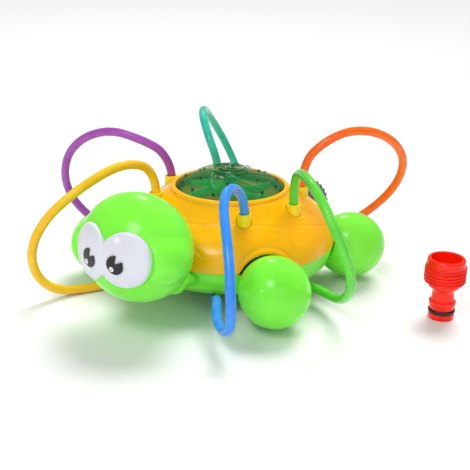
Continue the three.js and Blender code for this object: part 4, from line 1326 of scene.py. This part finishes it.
build_adapter()
lathe("o_ring", [(8.0 + 0.9 * math.cos(t) * 0.72 - 0.02, 5.3 + 1.12 * math.sin(t)) for t in np.linspace(0, 2 * math.pi, 24, endpoint=False)],
      M["rubber"], "adapter", ("adapter_o_ring",), 96, (AX, AY, 0))

# ------------------------------------------------- pieces kept from the frame
KEEP = {"water_manifold": "natural", "manifold_cover": "natural", "inlet_screen": "steel",
        "base_screw_1": "steel", "base_screw_2": "steel", "base_screw_3": "steel", "base_screw_4": "steel"}
for _n, _m in KEEP.items():
    _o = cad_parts[_n]
    _o.data.materials.clear()
    _o.data.materials.append(M[_m])

# -------------------------------------------------------------------- stage
def stage_floor():
    n = 2
    me = bpy.data.meshes.new("floor")
    s = 14.0
    me.from_pydata([(-s, -s, 0), (s, -s, 0), (s, s, 0), (-s, s, 0)], [], [(0, 1, 2, 3)])
    ob = bpy.data.objects.new("floor", me)
    bpy.context.scene.collection.objects.link(ob)
    mt = bpy.data.materials.new("floor_white")
    mt.use_nodes = True
    b = mt.node_tree.nodes["Principled BSDF"]
    b.inputs["Base Color"].default_value = (0.88, 0.88, 0.88, 1)
    b.inputs["Roughness"].default_value = 0.6
    b.inputs["Specular IOR Level"].default_value = 0.1
    me.materials.append(mt)


stage_floor()


def area(name, loc, target, size, power, colour=(1, 1, 1), size_y=None):
    l = bpy.data.lights.new(name, "AREA")
    l.energy = power
    l.color = colour
    l.size = size
    if size_y:
        l.shape = "RECTANGLE"
        l.size_y = size_y
    o = bpy.data.objects.new(name, l)
    o.location = loc
    d = Vector(target) - Vector(loc)
    o.rotation_euler = d.to_track_quat("-Z", "Y").to_euler()
    bpy.context.scene.collection.objects.link(o)
    return o


def sky_panel(name, direction, energy, angle):
    """very large soft panel, far away"""
    l = bpy.data.lights.new(name, "SUN")
    l.energy = energy
    l.angle = math.radians(angle)
    o = bpy.data.objects.new(name, l)
    o.location = Vector(direction) * 3.0
    o.rotation_euler = (-Vector(direction)).to_track_quat("-Z", "Y").to_euler()
    bpy.context.scene.collection.objects.link(o)
    return o


sky_panel("overhead", (-0.55, -0.08, 0.83), 2.75, 36).visible_glossy = False
area("key", (0.80, 0.06, 1.04), (0, 0, 0.06), 0.40, 4.8, (1.0, 0.99, 0.97))
area("fill", (1.00, 0.85, 0.55), (0, 0, 0.05), 1.2, 4.0, (0.98, 0.99, 1.0))
area("glint", (1.02, -0.28, 0.42), (0.09, -0.03, 0.06), 0.10, 0.8, (1, 1, 1))
area("rim", (-0.95, -0.75, 0.95), (0, 0, 0.06), 0.22, 1.6, (1, 1, 1))

w = bpy.data.worlds.new("studio")
w.use_nodes = True
w.node_tree.nodes["Background"].inputs["Color"].default_value = (1, 1, 1, 1)
w.node_tree.nodes["Background"].inputs["Strength"].default_value = 0.30
bpy.context.scene.world = w
bpy.context.scene.view_settings.view_transform = "Standard"
